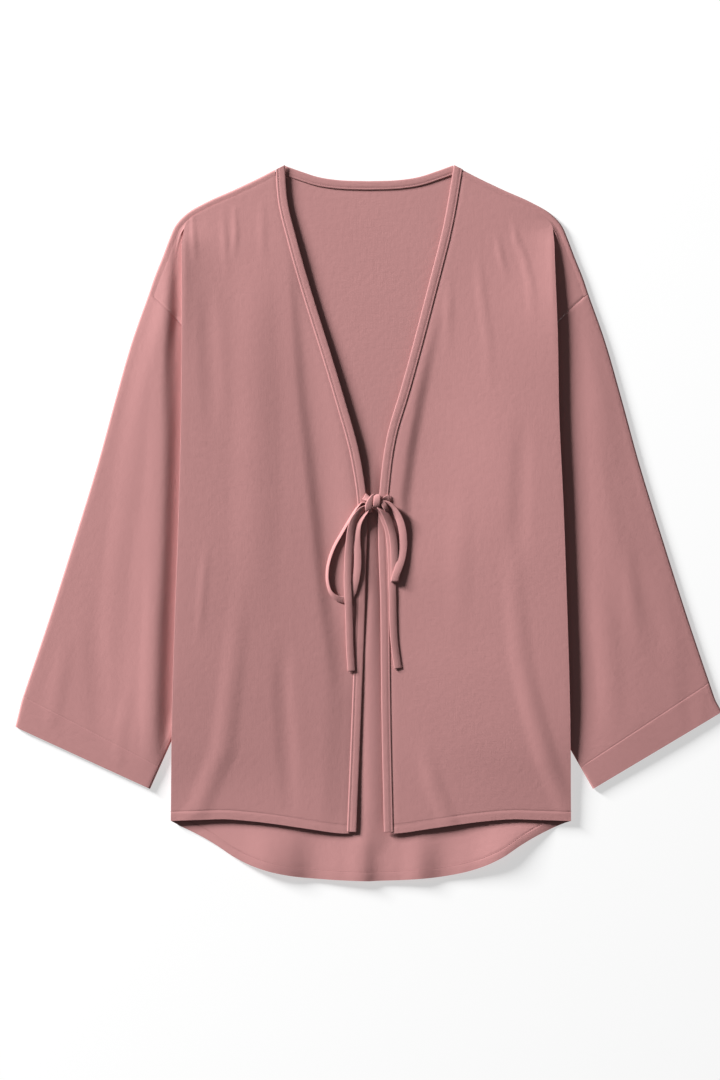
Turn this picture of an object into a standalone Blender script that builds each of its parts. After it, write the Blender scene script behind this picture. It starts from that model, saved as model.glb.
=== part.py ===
"""Tie-front kimono jacket, laid flat and face up. Metres, +Z up, the surface it lies on at z = 0.

X runs across the jacket and Y from hem to neck. Right and left are the wearer's: right is at -X.
In the tables "out" is the distance from the centre line, so that one table can serve both sides.
Every panel is a grid of points on one face of the cloth, given its wall by Solidify.
"""
import math

import bmesh
import bpy
import numpy as np
from mathutils import Vector

# Cloth and seams
CLOTH = 0.0014
HEM_CLOTH = 0.0018
BAND_CLOTH = 0.0019
SEAM_GAP = 0.0004
HEM_WIDTH = 0.010
CUFF_HEM = 0.035
HEM_RISE = 0.0004
WELD = 0.00001

# Heights of the layers that lie on each other
FLAT_TUBE = 0.0044
EDGE_RADIUS = FLAT_TUBE / 2
UPPER_LAYER = FLAT_TUBE - CLOTH
LAYER_GAP = 0.00045
LEG_UNDERSIDE = FLAT_TUBE + LAYER_GAP      # of the cloth that returns under the side fold
LEAST_RADIUS = 0.00045                     # inside radius of the side fold where it is tightest

# Widths of the narrow pieces
BAND_WIDTH = 0.0105
NECK_BAND_WIDTH = 0.010
SHOULDER_WRAP = 0.0065
TIE_WIDTH = 0.0085
TIE_CLOTH = 0.0016

COLLECTION = "kimono_jacket"
CUTTERS = "cutters"

# Grid counts
FRONT_COLUMNS = 9
FLAP_COLUMNS = 5
NECK_COLUMNS = 5
ARMHOLE_ROWS = 8
SLEEVE_RINGS = 10
ARC_STEPS = 4

# Cloth that returns under the side fold
LEAST_RETURN = 0.004        # width where it starts, below the shoulder
RETURN_STEP = 0.0015        # least width of one of its columns
SLOPE = 0.006               # width in which it comes down off the sleeve to the side seam
FOOT_RISE = 0.0002          # how far it stays above the surface where it is down
HEM_CURVE_START = -0.290    # where its lower end starts to follow the hem of the back

SIDES = {"right": -1, "left": 1}


def table(names, *rows):
    """A short table: a name for each column and a row of numbers for each place."""
    return {name: np.array(column) for name, column in zip(names.split(), zip(*rows))}


# Outline of the shoulder, from the neck peak to the top of the sleeve
SHOULDER = table(
    "out y",
    (0.0935, 0.3940), (0.1215, 0.3795), (0.1495, 0.3662), (0.1790, 0.3530), (0.2010, 0.3400),
    (0.2130, 0.3270), (0.2190, 0.3135), (0.2265, 0.2938), (0.2370, 0.2673), (0.2417, 0.2530),
)
FOLD_START = 0.124          # length along the shoulder at which the side fold of the front begins

# Free edge at the back of the neck
NECK = table(
    "out y",
    (0.0000, 0.3765), (0.0360, 0.3780), (0.0550, 0.3810), (0.0740, 0.3870), (0.0935, 0.3940),
)

# Free edge of each front, down the V to the tie and on to the hem
FRONT_EDGE = {
    "right": table(
        "y out",
        (0.394, 0.0920), (0.355, 0.0890), (0.311, 0.0785), (0.245, 0.0595), (0.190, 0.0422),
        (0.135, 0.0257), (0.080, 0.0105), (0.036, 0.0030), (-0.065, 0.0030), (-0.194, 0.0072),
        (-0.340, 0.0131),
    ),
    "left": table(
        "y out",
        (0.394, 0.0940), (0.332, 0.0833), (0.2585, 0.0651), (0.147, 0.0353), (0.097, 0.0206),
        (0.036, 0.0122), (-0.099, 0.0131), (-0.223, 0.0145), (-0.340, 0.0170),
    ),
}

# Side fold of each front
FOLD = {
    "right": table(
        "y out",
        (0.333, 0.2060), (0.218, 0.2055), (0.135, 0.2085), (0.047, 0.2112),
        (-0.129, 0.2150), (-0.217, 0.2167), (-0.3286, 0.2175),
    ),
    "left": table(
        "y out",
        (0.333, 0.2035), (0.212, 0.2050), (0.135, 0.2060), (0.047, 0.2107),
        (-0.129, 0.2170), (-0.217, 0.2206), (-0.3286, 0.2228),
    ),
}

# Places down the side fold that carry a row of points, from below the shoulder seam to the hem
FOLD_ROWS = (
    0.314, 0.300, 0.275, 0.243, 0.210, 0.176, 0.142, 0.105, 0.068, 0.045, 0.015,
    -0.022, -0.060, -0.100, -0.140, -0.180, -0.215, -0.245, -0.275, -0.300,
)

FRONT_HEM = table(
    "out y",
    (0.0000, -0.3400), (0.0260, -0.3415), (0.0660, -0.3365), (0.1000, -0.3315),
    (0.1240, -0.3285), (0.1580, -0.3258), (0.1870, -0.3266), (0.2230, -0.3278),
)
BACK_HEM = table(
    "out y",
    (0.0000, -0.3940), (0.0450, -0.3922), (0.0870, -0.3880), (0.1120, -0.3825), (0.1340, -0.3745),
    (0.1510, -0.3655), (0.1650, -0.3560), (0.1810, -0.3465), (0.2000, -0.3370), (0.2230, -0.3275),
)

# Armhole seam: from the shoulder tip to the underarm, bowed towards the body
SHOULDER_TIP = np.array((0.2417, 0.2530))
UNDERARM = np.array((0.1500, 0.0700))
ARMHOLE_BOW = 0.0234

# Side seam of the body, hidden under the side fold, and the hidden inner fold above it
SIDE_SEAM = table(
    "y out",
    (0.0620, 0.1430), (0.0450, 0.1430), (-0.0600, 0.1575), (-0.1400, 0.1765),
    (-0.2450, 0.2045), (-0.3340, 0.2085),
)
HIDDEN_FOLD = table(
    "y out",
    (0.3140, 0.2035), (0.3085, 0.2050), (0.2800, 0.1975), (0.2400, 0.1875), (0.1950, 0.1740),
    (0.1550, 0.1620), (0.1120, 0.1520), (0.0715, 0.1492),
)
UNDERARM_Y = 0.068          # below this the returning cloth comes down to the side seam
UNDERARM_DROP = 0.023

# Sleeve edges, from the armhole to the cuff
SLEEVE_OUTER = table(
    "out y",
    (0.2417, 0.2530), (0.2600, 0.2013), (0.2790, 0.1353), (0.2970, 0.0693),
    (0.3240, -0.0187), (0.3520, -0.1067), (0.3817, -0.1947),
)
SLEEVE_INNER = table(
    "out y",
    (0.1500, 0.0700), (0.1630, -0.0500), (0.1880, -0.1500), (0.2162, -0.2387),
)
CUFF = {
    "right": {"outer": (0.3889, -0.2244), "inner": (0.2404, -0.2926)},
    "left": {"outer": (0.3889, -0.2079), "inner": (0.2470, -0.2926)},
}

# Height of the underside of each front above the surface, by its free edge and by its side fold
EDGE_LIFT = table(
    "y z",
    (0.394, 0.0030), (0.380, 0.0030), (0.300, 0.0042), (0.200, 0.0048), (0.080, 0.0046),
    (0.000, 0.0047), (-0.150, 0.0040), (-0.300, 0.0040), (-0.340, 0.0046),
)
FOLD_LIFT = table(
    "y z",
    (0.340, 0.0030), (0.333, 0.0030), (0.314, 0.0032), (0.300, 0.0073), (0.270, 0.0086),
    (0.230, 0.0096), (0.150, 0.0098), (0.000, 0.0098), (-0.100, 0.0098), (-0.200, 0.0092),
    (-0.245, 0.0078), (-0.290, 0.0052), (-0.328, 0.0042), (-0.340, 0.0042),
)
RISE_START = 0.045          # how far inside the hidden edges a front starts to rise
RISE_END = 0.010            # how far inside its side fold it is at full height

# Soft folds of the fronts: a ridge or a trough between two points, with its half width
SOFT_FOLDS = {
    "right": table(
        "out_1 y_1 out_2 y_2 half_width height",
        (0.078, 0.245, 0.010, 0.045, 0.022, -0.0009),
        (0.142, 0.250, 0.150, -0.180, 0.030, 0.0007),
        (0.110, 0.180, 0.090, -0.250, 0.030, 0.0006),
        (0.060, -0.080, 0.070, -0.330, 0.028, 0.0006),
    ),
    "left": table(
        "out_1 y_1 out_2 y_2 half_width height",
        (0.084, 0.300, 0.030, 0.030, 0.022, -0.0009),
        (0.150, 0.280, 0.155, -0.050, 0.030, 0.0007),
        (0.100, 0.150, 0.090, -0.200, 0.030, 0.0006),
        (0.170, -0.160, 0.205, -0.300, 0.026, 0.0007),
    ),
}

# Tied straps: middle line, and the roll that stands the strap on its edge at 90 degrees
TIES = {
    "tie_right_loop": table(
        "x y z roll",
        (-0.0066, 0.0222, 0.0112, 70), (-0.0115, 0.0176, 0.0118, 84), (-0.0180, 0.0078, 0.0120, 88),
        (-0.0240, -0.0025, 0.0118, 88), (-0.0300, -0.0125, 0.0116, 86),
        (-0.0370, -0.0250, 0.0114, 84), (-0.0426, -0.0397, 0.0112, 84),
        (-0.0454, -0.0544, 0.0111, 86), (-0.0446, -0.0668, 0.0110, 86),
        (-0.0412, -0.0765, 0.0108, 78), (-0.0352, -0.0822, 0.0098, 50),
        (-0.0287, -0.0842, 0.0086, 22), (-0.0222, -0.0828, 0.0080, 6),
        (-0.0175, -0.0775, 0.0080, 8), (-0.0145, -0.0700, 0.0088, 24),
        (-0.0129, -0.0600, 0.0098, 38),
        (-0.0120, -0.0485, 0.0106, 50), (-0.0124, -0.0353, 0.0108, 58),
        (-0.0134, -0.0220, 0.0110, 66), (-0.0128, -0.0080, 0.0112, 70),
        (-0.0095, 0.0025, 0.0114, 70), (-0.0050, 0.0080, 0.0116, 70),
        (-0.0015, 0.0122, 0.0116, 70),
    ),
    "tie_right_tail": table(
        "x y z roll",
        (-0.0060, 0.0150, 0.0112, 55), (-0.0120, 0.0090, 0.0112, 58), (-0.0170, 0.0005, 0.0110, 58),
        (-0.0197, -0.0090, 0.0108, 52), (-0.0208, -0.0190, 0.0106, 42),
        (-0.0220, -0.0338, 0.0104, 30), (-0.0225, -0.0485, 0.0106, 14),
        (-0.0230, -0.0633, 0.0114, 4), (-0.0224, -0.0780, 0.0119, 0),
        (-0.0220, -0.0860, 0.0118, 0), (-0.0216, -0.0950, 0.0106, 0),
        (-0.0211, -0.1075, 0.0088, 3),
        (-0.0204, -0.1370, 0.0074, 5), (-0.0187, -0.1630, 0.0074, 6),
    ),
    "tie_left_loop": table(
        "x y z roll",
        (0.0198, 0.0126, 0.0130, 64), (0.0245, 0.0030, 0.0134, 62), (0.0276, -0.0100, 0.0134, 58),
        (0.0292, -0.0240, 0.0132, 54), (0.0296, -0.0380, 0.0130, 54),
        (0.0296, -0.0520, 0.0130, 64), (0.0308, -0.0615, 0.0130, 82),
        (0.0345, -0.0652, 0.0130, 90), (0.0385, -0.0600, 0.0132, 82),
        (0.0415, -0.0480, 0.0136, 66), (0.0424, -0.0330, 0.0142, 54),
        (0.0422, -0.0187, 0.0148, 50), (0.0395, -0.0040, 0.0150, 50),
        (0.0348, 0.0075, 0.0144, 54), (0.0300, 0.0150, 0.0132, 60),
        (0.0264, 0.0186, 0.0122, 64),
    ),
    "tie_left_tail": table(
        "x y z roll",
        (0.0120, 0.0122, 0.0084, 0), (0.0170, 0.0050, 0.0080, 0), (0.0215, -0.0060, 0.0079, 0),
        (0.0240, -0.0200, 0.0078, 0), (0.0252, -0.0400, 0.0076, 0), (0.0258, -0.0600, 0.0075, 0),
        (0.0265, -0.0780, 0.0075, 2), (0.0270, -0.1000, 0.0074, 4),
        (0.0284, -0.1296, 0.0074, 5), (0.0325, -0.1600, 0.0074, 6),
    ),
}
TIE_STEP = 0.0055

# Rounded lumps of the knot: where each one is and its half sizes
KNOT_LUMPS = table(
    "x y z half_x half_y half_z",
    (0.0015, 0.0215, 0.0112, 0.0060, 0.0068, 0.0042),
    (0.0094, 0.0230, 0.0118, 0.0052, 0.0082, 0.0048),
    (0.0180, 0.0205, 0.0112, 0.0075, 0.0070, 0.0042),
)

# Colour of each piece, as light on the red, green and blue channels, and its finish
PANEL_COLOUR = (0.46, 0.23, 0.225)
BACK_COLOUR = (0.45, 0.21, 0.21)
SLEEVE_COLOUR = (0.50, 0.26, 0.25)
BAND_COLOUR = (0.42, 0.20, 0.20)
TIE_COLOUR = (0.44, 0.22, 0.22)
CLOTH_ROUGHNESS = 0.85


def smooth(places, values, at):
    """Values at some places, on a smooth curve through the rows of a table."""
    order = np.argsort(places)
    x, y = places[order], values[order]
    slope = np.gradient(y, x)
    at = np.clip(at, x[0], x[-1])
    i = np.clip(np.searchsorted(x, at) - 1, 0, len(x) - 2)
    span = x[i + 1] - x[i]
    t = (at - x[i]) / span
    start = (2 * t**3 - 3 * t**2 + 1) * y[i] + (t**3 - 2 * t**2 + t) * span * slope[i]
    end = (3 * t**2 - 2 * t**3) * y[i + 1] + (t**3 - t**2) * span * slope[i + 1]
    return start + end


def ease(t):
    """A soft step from 0 to 1."""
    t = np.clip(t, 0, 1)
    return t * t * (3 - 2 * t)


def lengths(points):
    """Length along a line at each of its points."""
    steps = np.linalg.norm(np.diff(points, axis=0), axis=1)
    return np.concatenate([[0], np.cumsum(steps)])


def at_length(points, places):
    """Points at given lengths along a line."""
    run = lengths(points)
    return np.column_stack([np.interp(places, run, column) for column in points.T])


def curve(rows, *names):
    """Fine line through the rows of a table, smooth in the named columns."""
    points = np.column_stack([rows[name] for name in names])
    run = lengths(points)
    fine = np.linspace(0, run[-1], 240)
    return np.column_stack([smooth(run, column, fine) for column in points.T])


def left_of(points):
    """Unit direction to the left of a line, at each of its points."""
    way = np.gradient(points, axis=0)
    turned = np.column_stack([-way[:, 1], way[:, 0]])
    return turned / np.linalg.norm(turned, axis=1)[:, None]


def fill(top, bottom, first, last):
    """Grid of points between four edges: top and bottom run across, first and last run down."""
    across = (lengths(top) / lengths(top)[-1])[None, :, None]
    down = (lengths(last) / lengths(last)[-1])[:, None, None]
    between_rows = (1 - down) * top[None] + down * bottom[None]
    between_columns = (1 - across) * first[:, None] + across * last[:, None]
    top_corners = (1 - across) * top[0] + across * top[-1]
    bottom_corners = (1 - across) * bottom[0] + across * bottom[-1]
    return between_rows + between_columns - (1 - down) * top_corners - down * bottom_corners


def grid(plan, height, wall=CLOTH):
    """Grid rows of out, y, z and wall, from a plan and from heights for it."""
    shape = plan.shape[:2]
    height = np.broadcast_to(height, shape)
    wall = np.broadcast_to(wall, shape)
    return np.dstack([plan, height, wall])


def armhole(share, shift=0.0):
    """Points of the armhole seam, from the shoulder tip to the underarm, moved off the body."""
    share = np.asarray(share, float)[:, None]
    chord = UNDERARM - SHOULDER_TIP
    to_body = np.array((chord[1], -chord[0])) / np.linalg.norm(chord)
    fine = np.linspace(0, 1, 101)[:, None]
    seam = SHOULDER_TIP + fine * chord + ARMHOLE_BOW * 4 * fine * (1 - fine) * to_body
    seam = seam + left_of(seam) * shift
    return np.column_stack([np.interp(share[:, 0], fine[:, 0], column) for column in seam.T])


SHOULDER_LINE = curve(SHOULDER, "out", "y")
SHOULDER_LENGTH = lengths(SHOULDER_LINE)[-1]
WRAP_START = BAND_WIDTH + 2 * SEAM_GAP
STATIONS = np.concatenate([
    np.linspace(WRAP_START, FOLD_START, FRONT_COLUMNS + 1),
    np.linspace(FOLD_START, SHOULDER_LENGTH, FLAP_COLUMNS + 1)[1:],
])
NECK_SEAM_WAY = (-0.085, -0.996)
END_BLEND = 0.030           # stretch over which the wrap turns to meet the seams at its ends
ARMHOLE_SHARES = np.linspace(0, 1, ARMHOLE_ROWS + 1)


def shoulder(inset):
    """Points inside the shoulder outline at its stations, square to it but for the two ends."""
    line = at_length(SHOULDER_LINE, STATIONS)
    normals = left_of(SHOULDER_LINE)
    run = lengths(SHOULDER_LINE)
    inward = -np.column_stack([np.interp(STATIONS, run, column) for column in normals.T])
    down_band = np.array(NECK_SEAM_WAY)
    seam = armhole((0, 0.02))
    down_armhole = (seam[1] - seam[0]) / np.linalg.norm(seam[1] - seam[0])
    start = 1 - ease((STATIONS - WRAP_START) / END_BLEND)[:, None]
    end = 1 - ease((SHOULDER_LENGTH - STATIONS) / END_BLEND)[:, None]
    inward = inward * (1 - start) * (1 - end) + down_band * start + down_armhole * end
    inward = inward / np.linalg.norm(inward, axis=1)[:, None]
    return line + inward * inset


def front_edge(side):
    """Free edge of a front, from the neck down."""
    rows = FRONT_EDGE[side]
    return curve({"y": rows["y"], "out": rows["out"]}, "out", "y")


def fold_out(side, y):
    """How far out the side fold of a front is."""
    return smooth(FOLD[side]["y"], FOLD[side]["out"], y)


def hidden_out(y):
    """How far out the cloth that returns under the side fold ends."""
    upper = np.interp(y, HIDDEN_FOLD["y"][::-1], HIDDEN_FOLD["out"][::-1])
    lower = np.interp(y, SIDE_SEAM["y"][::-1], SIDE_SEAM["out"][::-1])
    return np.where(np.asarray(y) > UNDERARM_Y, upper, lower)


def sleeve_inner_out(y):
    """How far out the hidden edge of a sleeve is."""
    return smooth(SLEEVE_INNER["y"], SLEEVE_INNER["out"], y)


def fold_radius(side, y):
    """Inside radius of the side fold, which holds the cloth under it clear of the sleeve."""
    lift = smooth(FOLD_LIFT["y"], FOLD_LIFT["z"], y)
    return np.maximum((lift - CLOTH - LEG_UNDERSIDE) / 2, LEAST_RADIUS)


def front_lift(side, out, y):
    """Height of the underside of a front."""
    edge = smooth(EDGE_LIFT["y"], EDGE_LIFT["z"], y)
    fold = smooth(FOLD_LIFT["y"], FOLD_LIFT["z"], y)
    start = hidden_out(y) - RISE_START
    end = fold_out(side, y) - RISE_END
    lift = edge + (fold - edge) * ease((out - start) / (end - start))
    rows = SOFT_FOLDS[side]
    for out_1, y_1, out_2, y_2, half_width, height in zip(*rows.values()):
        length = math.hypot(out_2 - out_1, y_2 - y_1)
        way_out, way_y = (out_2 - out_1) / length, (y_2 - y_1) / length
        along = (out - out_1) * way_out + (y - y_1) * way_y
        off = (out - out_1) * way_y - (y - y_1) * way_out
        taper = ease(along / (0.35 * length)) * ease((length - along) / (0.35 * length))
        lift = lift + height * taper * ease(1 - np.abs(off) / half_width)
    return lift


def front_plan(side):
    """Plan of a front between its band, shoulder seam, side fold and hem, and its fold rows."""
    y = np.concatenate([[0.0], FOLD_ROWS, [0.0, 0.0, 0.0]])
    top = shoulder(SHOULDER_WRAP + SEAM_GAP)[:FRONT_COLUMNS + 1]
    hem_out = fold_out(side, FOLD[side]["y"][-1]) - (LEAST_RADIUS + CLOTH)
    hem_y = smooth(FRONT_HEM["out"], FRONT_HEM["y"], hem_out)
    y[0] = top[-1, 1]
    y[-3:] = hem_y + HEM_WIDTH, hem_y + HEM_WIDTH - HEM_RISE, hem_y
    radius = fold_radius(side, y) + CLOTH
    outer = np.column_stack([fold_out(side, y) - radius, y])
    outer[0] = top[-1]
    outer[1, 0] = HIDDEN_FOLD["out"][0]
    edge = front_edge(side)
    seam = edge + left_of(edge) * (BAND_WIDTH + SEAM_GAP)
    hem_start = np.interp(FRONT_HEM["y"][0], seam[::-1, 1], seam[::-1, 0])
    hem_outs = np.linspace(hem_start, outer[-1, 0], FRONT_COLUMNS + 1)
    bottom = np.column_stack([hem_outs, smooth(FRONT_HEM["out"], FRONT_HEM["y"], hem_outs)])
    bottom[-1] = outer[-1]
    inside = (seam[:, 1] < top[0, 1] - BAND_WIDTH) & (seam[:, 1] > bottom[0, 1] + BAND_WIDTH / 2)
    inner_line = np.vstack([top[:1], seam[inside], bottom[:1]])
    inner = at_length(inner_line, lengths(outer) / lengths(outer)[-1] * lengths(inner_line)[-1])
    return fill(top, bottom, inner, outer)


def hem_walls(count):
    """Wall of each row of a panel, thicker in its turned hem."""
    walls = np.full((count, 1), CLOTH)
    walls[-2:] = HEM_CLOTH
    return walls


def returned_cloth(side, plan):
    """Side fold of a front and the cloth that returns under it, from below the shoulder."""
    outer = plan[2:, -1]
    y = outer[:, 1]
    lift = front_lift(side, outer[:, 0], y)
    radius = fold_radius(side, y)
    columns = [np.column_stack([outer, lift])]
    for step in range(1, ARC_STEPS + 1):
        angle = math.pi * step / ARC_STEPS
        out = outer[:, 0] + radius * math.sin(angle)
        columns.append(np.column_stack([out, y, lift - radius * (1 - math.cos(angle))]))
    level = lift - 2 * radius
    end = hidden_out(y) + SEAM_GAP
    end = np.where(y > UNDERARM_Y, np.minimum(end, outer[:, 0] - LEAST_RETURN), end)
    on_floor = ease((UNDERARM_Y - y) / UNDERARM_DROP)
    sleeve_edge = np.where(y > UNDERARM_Y, end + SLOPE + RETURN_STEP, sleeve_inner_out(y) - SEAM_GAP)
    sleeve_edge = np.where(y == UNDERARM_Y, UNDERARM[0] - RETURN_STEP, sleeve_edge)
    sleeve_edge = np.where(y < SLEEVE_INNER["y"][-1], outer[:, 0], sleeve_edge)
    over = np.minimum(sleeve_edge, outer[:, 0] - RETURN_STEP)
    foot = np.maximum(over - SLOPE, end + RETURN_STEP)
    walls = hem_walls(len(y))
    low = level + (walls[:, 0] + FOOT_RISE - level) * on_floor
    foot_height = low + FOOT_RISE * on_floor
    hem_drop = smooth(BACK_HEM["out"], BACK_HEM["y"], end[-1]) - y[-1]
    curved = ease((HEM_CURVE_START - y) / (HEM_CURVE_START - y[-3])) * hem_drop
    for out, height in (
        ((over + outer[:, 0]) / 2, level), (over, level), (foot, foot_height), (end, low),
    ):
        drop = curved * (outer[:, 0] - out) / (outer[:, 0] - end)
        columns.append(np.column_stack([out, y + drop, height]))
    points = np.stack(columns, axis=1)
    return grid(points[:, :, :2], points[:, :, 2], walls)


def flap(side, plan):
    """Outer end of a front's shoulder, past the side fold, down the armhole seam."""
    top = shoulder(SHOULDER_WRAP + SEAM_GAP)[FRONT_COLUMNS:]
    last = armhole(ARMHOLE_SHARES, -SEAM_GAP / 2)
    last[0] = top[-1]
    hidden = np.column_stack([HIDDEN_FOLD["out"], HIDDEN_FOLD["y"]])
    first = np.vstack([plan[0, -1], plan[1, -1], hidden[1:]])
    across = np.linspace(0, 1, FLAP_COLUMNS + 1)[None, :, None]
    down = np.linspace(0, 1, ARMHOLE_ROWS + 1)[:, None, None]
    flat = (1 - across) * first[:, None] + across * last[:, None]
    flat = flat + (1 - down) ** 4 * (top - flat[0])[None]
    height = np.full(flat.shape[:2], UPPER_LAYER)
    height[:2, 0] = front_lift(side, plan[:2, -1, 0], plan[:2, -1, 1])
    return grid(flat, height)


def front_panel(side):
    """Grids of a front: its main stretch, its side fold and its flap at the shoulder."""
    plan = front_plan(side)
    height = front_lift(side, plan[:, :, 0], plan[:, :, 1])
    main = grid(plan, height, hem_walls(len(plan)))
    return [main, returned_cloth(side, plan), flap(side, plan)]


def band(side):
    """Grid of the narrow band along a front, from the shoulder outline to the hem."""
    seam = front_plan(side)[:, 0]
    to_edge = -left_of(seam)
    widths = (SEAM_GAP + BAND_WIDTH, SEAM_GAP + BAND_WIDTH / 2, SEAM_GAP)
    plan = np.stack([seam + to_edge * width for width in widths], axis=1)
    peak = at_length(SHOULDER_LINE, (0.0, BAND_WIDTH / 2, BAND_WIDTH))
    plan = np.concatenate([peak[None], plan])
    seam_out = np.concatenate([[plan[0, -1, 0]], seam[:, 0]])
    height = front_lift(side, seam_out, plan[:, -1, 1])[:, None]
    return [grid(plan, height, BAND_CLOTH)]


def neck_seam():
    """Points of the seam between the back panel and its neck band."""
    edge = curve(NECK, "out", "y")
    seam = edge - left_of(edge) * NECK_BAND_WIDTH
    return edge, seam


def neck_band():
    """Half of the band at the back of the neck, and its end under the front's band."""
    edge, seam = neck_seam()
    shares = np.linspace(0, 1, NECK_COLUMNS + 1)
    outer = at_length(edge, shares * lengths(edge)[-1])
    inner = at_length(seam, shares * lengths(seam)[-1])
    inner[0, 0] = 0
    corner = at_length(SHOULDER_LINE, [BAND_WIDTH - SEAM_GAP])
    outer = np.vstack([outer, corner])
    inner = np.vstack([inner, shoulder(EDGE_RADIUS)[0] - (SEAM_GAP, 0)])
    plan = np.stack([outer, (outer + inner) / 2, inner])
    return [grid(plan, 0.0, BAND_CLOTH)]


def back_panel():
    """Half of the back, flat on the surface, and its edge that wraps over the shoulder."""
    seam = neck_seam()[1]
    seam = seam - left_of(seam) * SEAM_GAP
    neck = at_length(seam, np.linspace(0, 1, NECK_COLUMNS + 1)[:-1] * lengths(seam)[-1])
    neck[0, 0] = 0
    base = shoulder(EDGE_RADIUS)
    top = np.vstack([neck, base])
    hem_out = SIDE_SEAM["out"][-1]
    hem_y = float(smooth(BACK_HEM["out"], BACK_HEM["y"], hem_out))
    hem_rows = (hem_y + HEM_WIDTH, hem_y + HEM_WIDTH - HEM_RISE, hem_y)
    sides = np.concatenate([SIDE_SEAM["y"][:-1], hem_rows])
    side_line = np.column_stack([hidden_out(sides), sides])
    arm = armhole(ARMHOLE_SHARES[1:], -SEAM_GAP / 2)
    last = np.vstack([base[-1:], arm, side_line])
    bottom_out = np.linspace(0, hem_out, len(top))
    bottom = np.column_stack([bottom_out, smooth(BACK_HEM["out"], BACK_HEM["y"], bottom_out)])
    down = lengths(last) / lengths(last)[-1]
    first = np.linspace(top[0], bottom[0], 2)
    first = at_length(first, down * lengths(first)[-1])
    plan = fill(top, bottom, first, last)
    wrap = []
    for step in range(ARC_STEPS + 1):
        angle = math.pi * step / ARC_STEPS
        inset = EDGE_RADIUS * (1 - math.sin(angle))
        points = shoulder(inset)
        height = np.full(len(points), EDGE_RADIUS * (1 - math.cos(angle)))
        wrap.append(np.column_stack([points, height]))
    points = shoulder(SHOULDER_WRAP)
    wrap.append(np.column_stack([points, np.full(len(points), FLAT_TUBE)]))
    wrap = np.stack(wrap[::-1])
    return [grid(plan, 0.0, hem_walls(len(plan))), grid(wrap[:, :, :2], wrap[:, :, 2])]


def sleeve(side):
    """Closed rings of a sleeve, flattened, from the armhole to the cuff, on its outer face."""
    outer = np.vstack([curve(SLEEVE_OUTER, "out", "y"), CUFF[side]["outer"]])
    inner = np.vstack([curve(SLEEVE_INNER, "out", "y"), CUFF[side]["inner"]])
    run = lengths(outer)[-1]
    hem = 1 - CUFF_HEM / run
    shares = np.concatenate([np.linspace(0, hem, SLEEVE_RINGS), [hem + HEM_RISE / run, 1]])
    walls = np.full(len(shares), CLOTH)
    walls[-2:] = HEM_CLOTH
    starts = armhole(ARMHOLE_SHARES, SEAM_GAP / 2)
    chord = UNDERARM - SHOULDER_TIP
    bow = starts - (SHOULDER_TIP + ARMHOLE_SHARES[:, None] * chord)
    off_outer, off_inner = left_of(outer), -left_of(inner)
    rings = []
    for share in shares:
        tip = at_length(outer, [share * run])[0]
        foot = at_length(inner, [share * lengths(inner)[-1]])[0]
        line = tip + ARMHOLE_SHARES[:, None] * (foot - tip) + bow * (1 - share) ** 2
        first_way = -off_outer[round(share * (len(outer) - 1))]
        last_way = off_inner[round(share * (len(inner) - 1))]
        if share == 0:
            first_way = (line[1] - line[0]) / np.linalg.norm(line[1] - line[0])
        flat = line.copy()
        flat[0] = line[0] + first_way * EDGE_RADIUS
        flat[-1] = line[-1] - last_way * EDGE_RADIUS
        ring = [(*point, 0.0) for point in flat]
        for centre, way, turn in ((flat[-1], last_way, 1), (flat[0], -first_way, -1)):
            for step in range(1, ARC_STEPS):
                angle = math.pi * step / ARC_STEPS
                point = centre + way * EDGE_RADIUS * math.sin(angle)
                ring.append((*point, EDGE_RADIUS * (1 - turn * math.cos(angle))))
            if turn > 0:
                ring.extend((*point, FLAT_TUBE) for point in flat[::-1])
        rings.append(ring + ring[:1])
    rings = np.array(rings)
    return [grid(rings[:, :, :2], rings[:, :, 2], walls[:, None])]


def cloth_object(name, grids, sign):
    """One face of a piece of cloth, from grids of points welded where they meet."""
    bm = bmesh.new()
    weights = bm.verts.layers.deform.verify()
    for rows in grids:
        verts = []
        for line in rows:
            verts.append([bm.verts.new((sign * out, y, z)) for out, y, z, wall in line])
            for vert, wall in zip(verts[-1], line[:, 3]):
                vert[weights][0] = wall / BAND_CLOTH
        for upper, lower in zip(verts, verts[1:]):
            for column in range(len(upper) - 1):
                corners = (upper[column], lower[column], lower[column + 1], upper[column + 1])
                bm.faces.new(corners)
    bmesh.ops.remove_doubles(bm, verts=bm.verts, dist=WELD)
    if sign < 0:
        bmesh.ops.reverse_faces(bm, faces=bm.faces)
    mesh = bpy.data.meshes.new(name)
    bm.to_mesh(mesh)
    bm.free()
    obj = bpy.data.objects.new(name, mesh)
    obj.vertex_groups.new(name="wall")
    bpy.data.collections[COLLECTION].objects.link(obj)
    return obj


def add_wall(obj, offset):
    """Wall of the cloth, to the side of its faces' normals (1) or behind them (-1)."""
    wall = obj.modifiers.new("wall", "SOLIDIFY")
    wall.thickness = BAND_CLOTH
    wall.offset = offset
    wall.use_even_offset = True
    wall.vertex_group = "wall"
    wall.thickness_vertex_group = 0.0


def add_mirror(obj):
    """Other half of a piece that is open at the centre line."""
    mirror = obj.modifiers.new("other half", "MIRROR")
    mirror.use_clip = True
    mirror.merge_threshold = WELD


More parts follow.
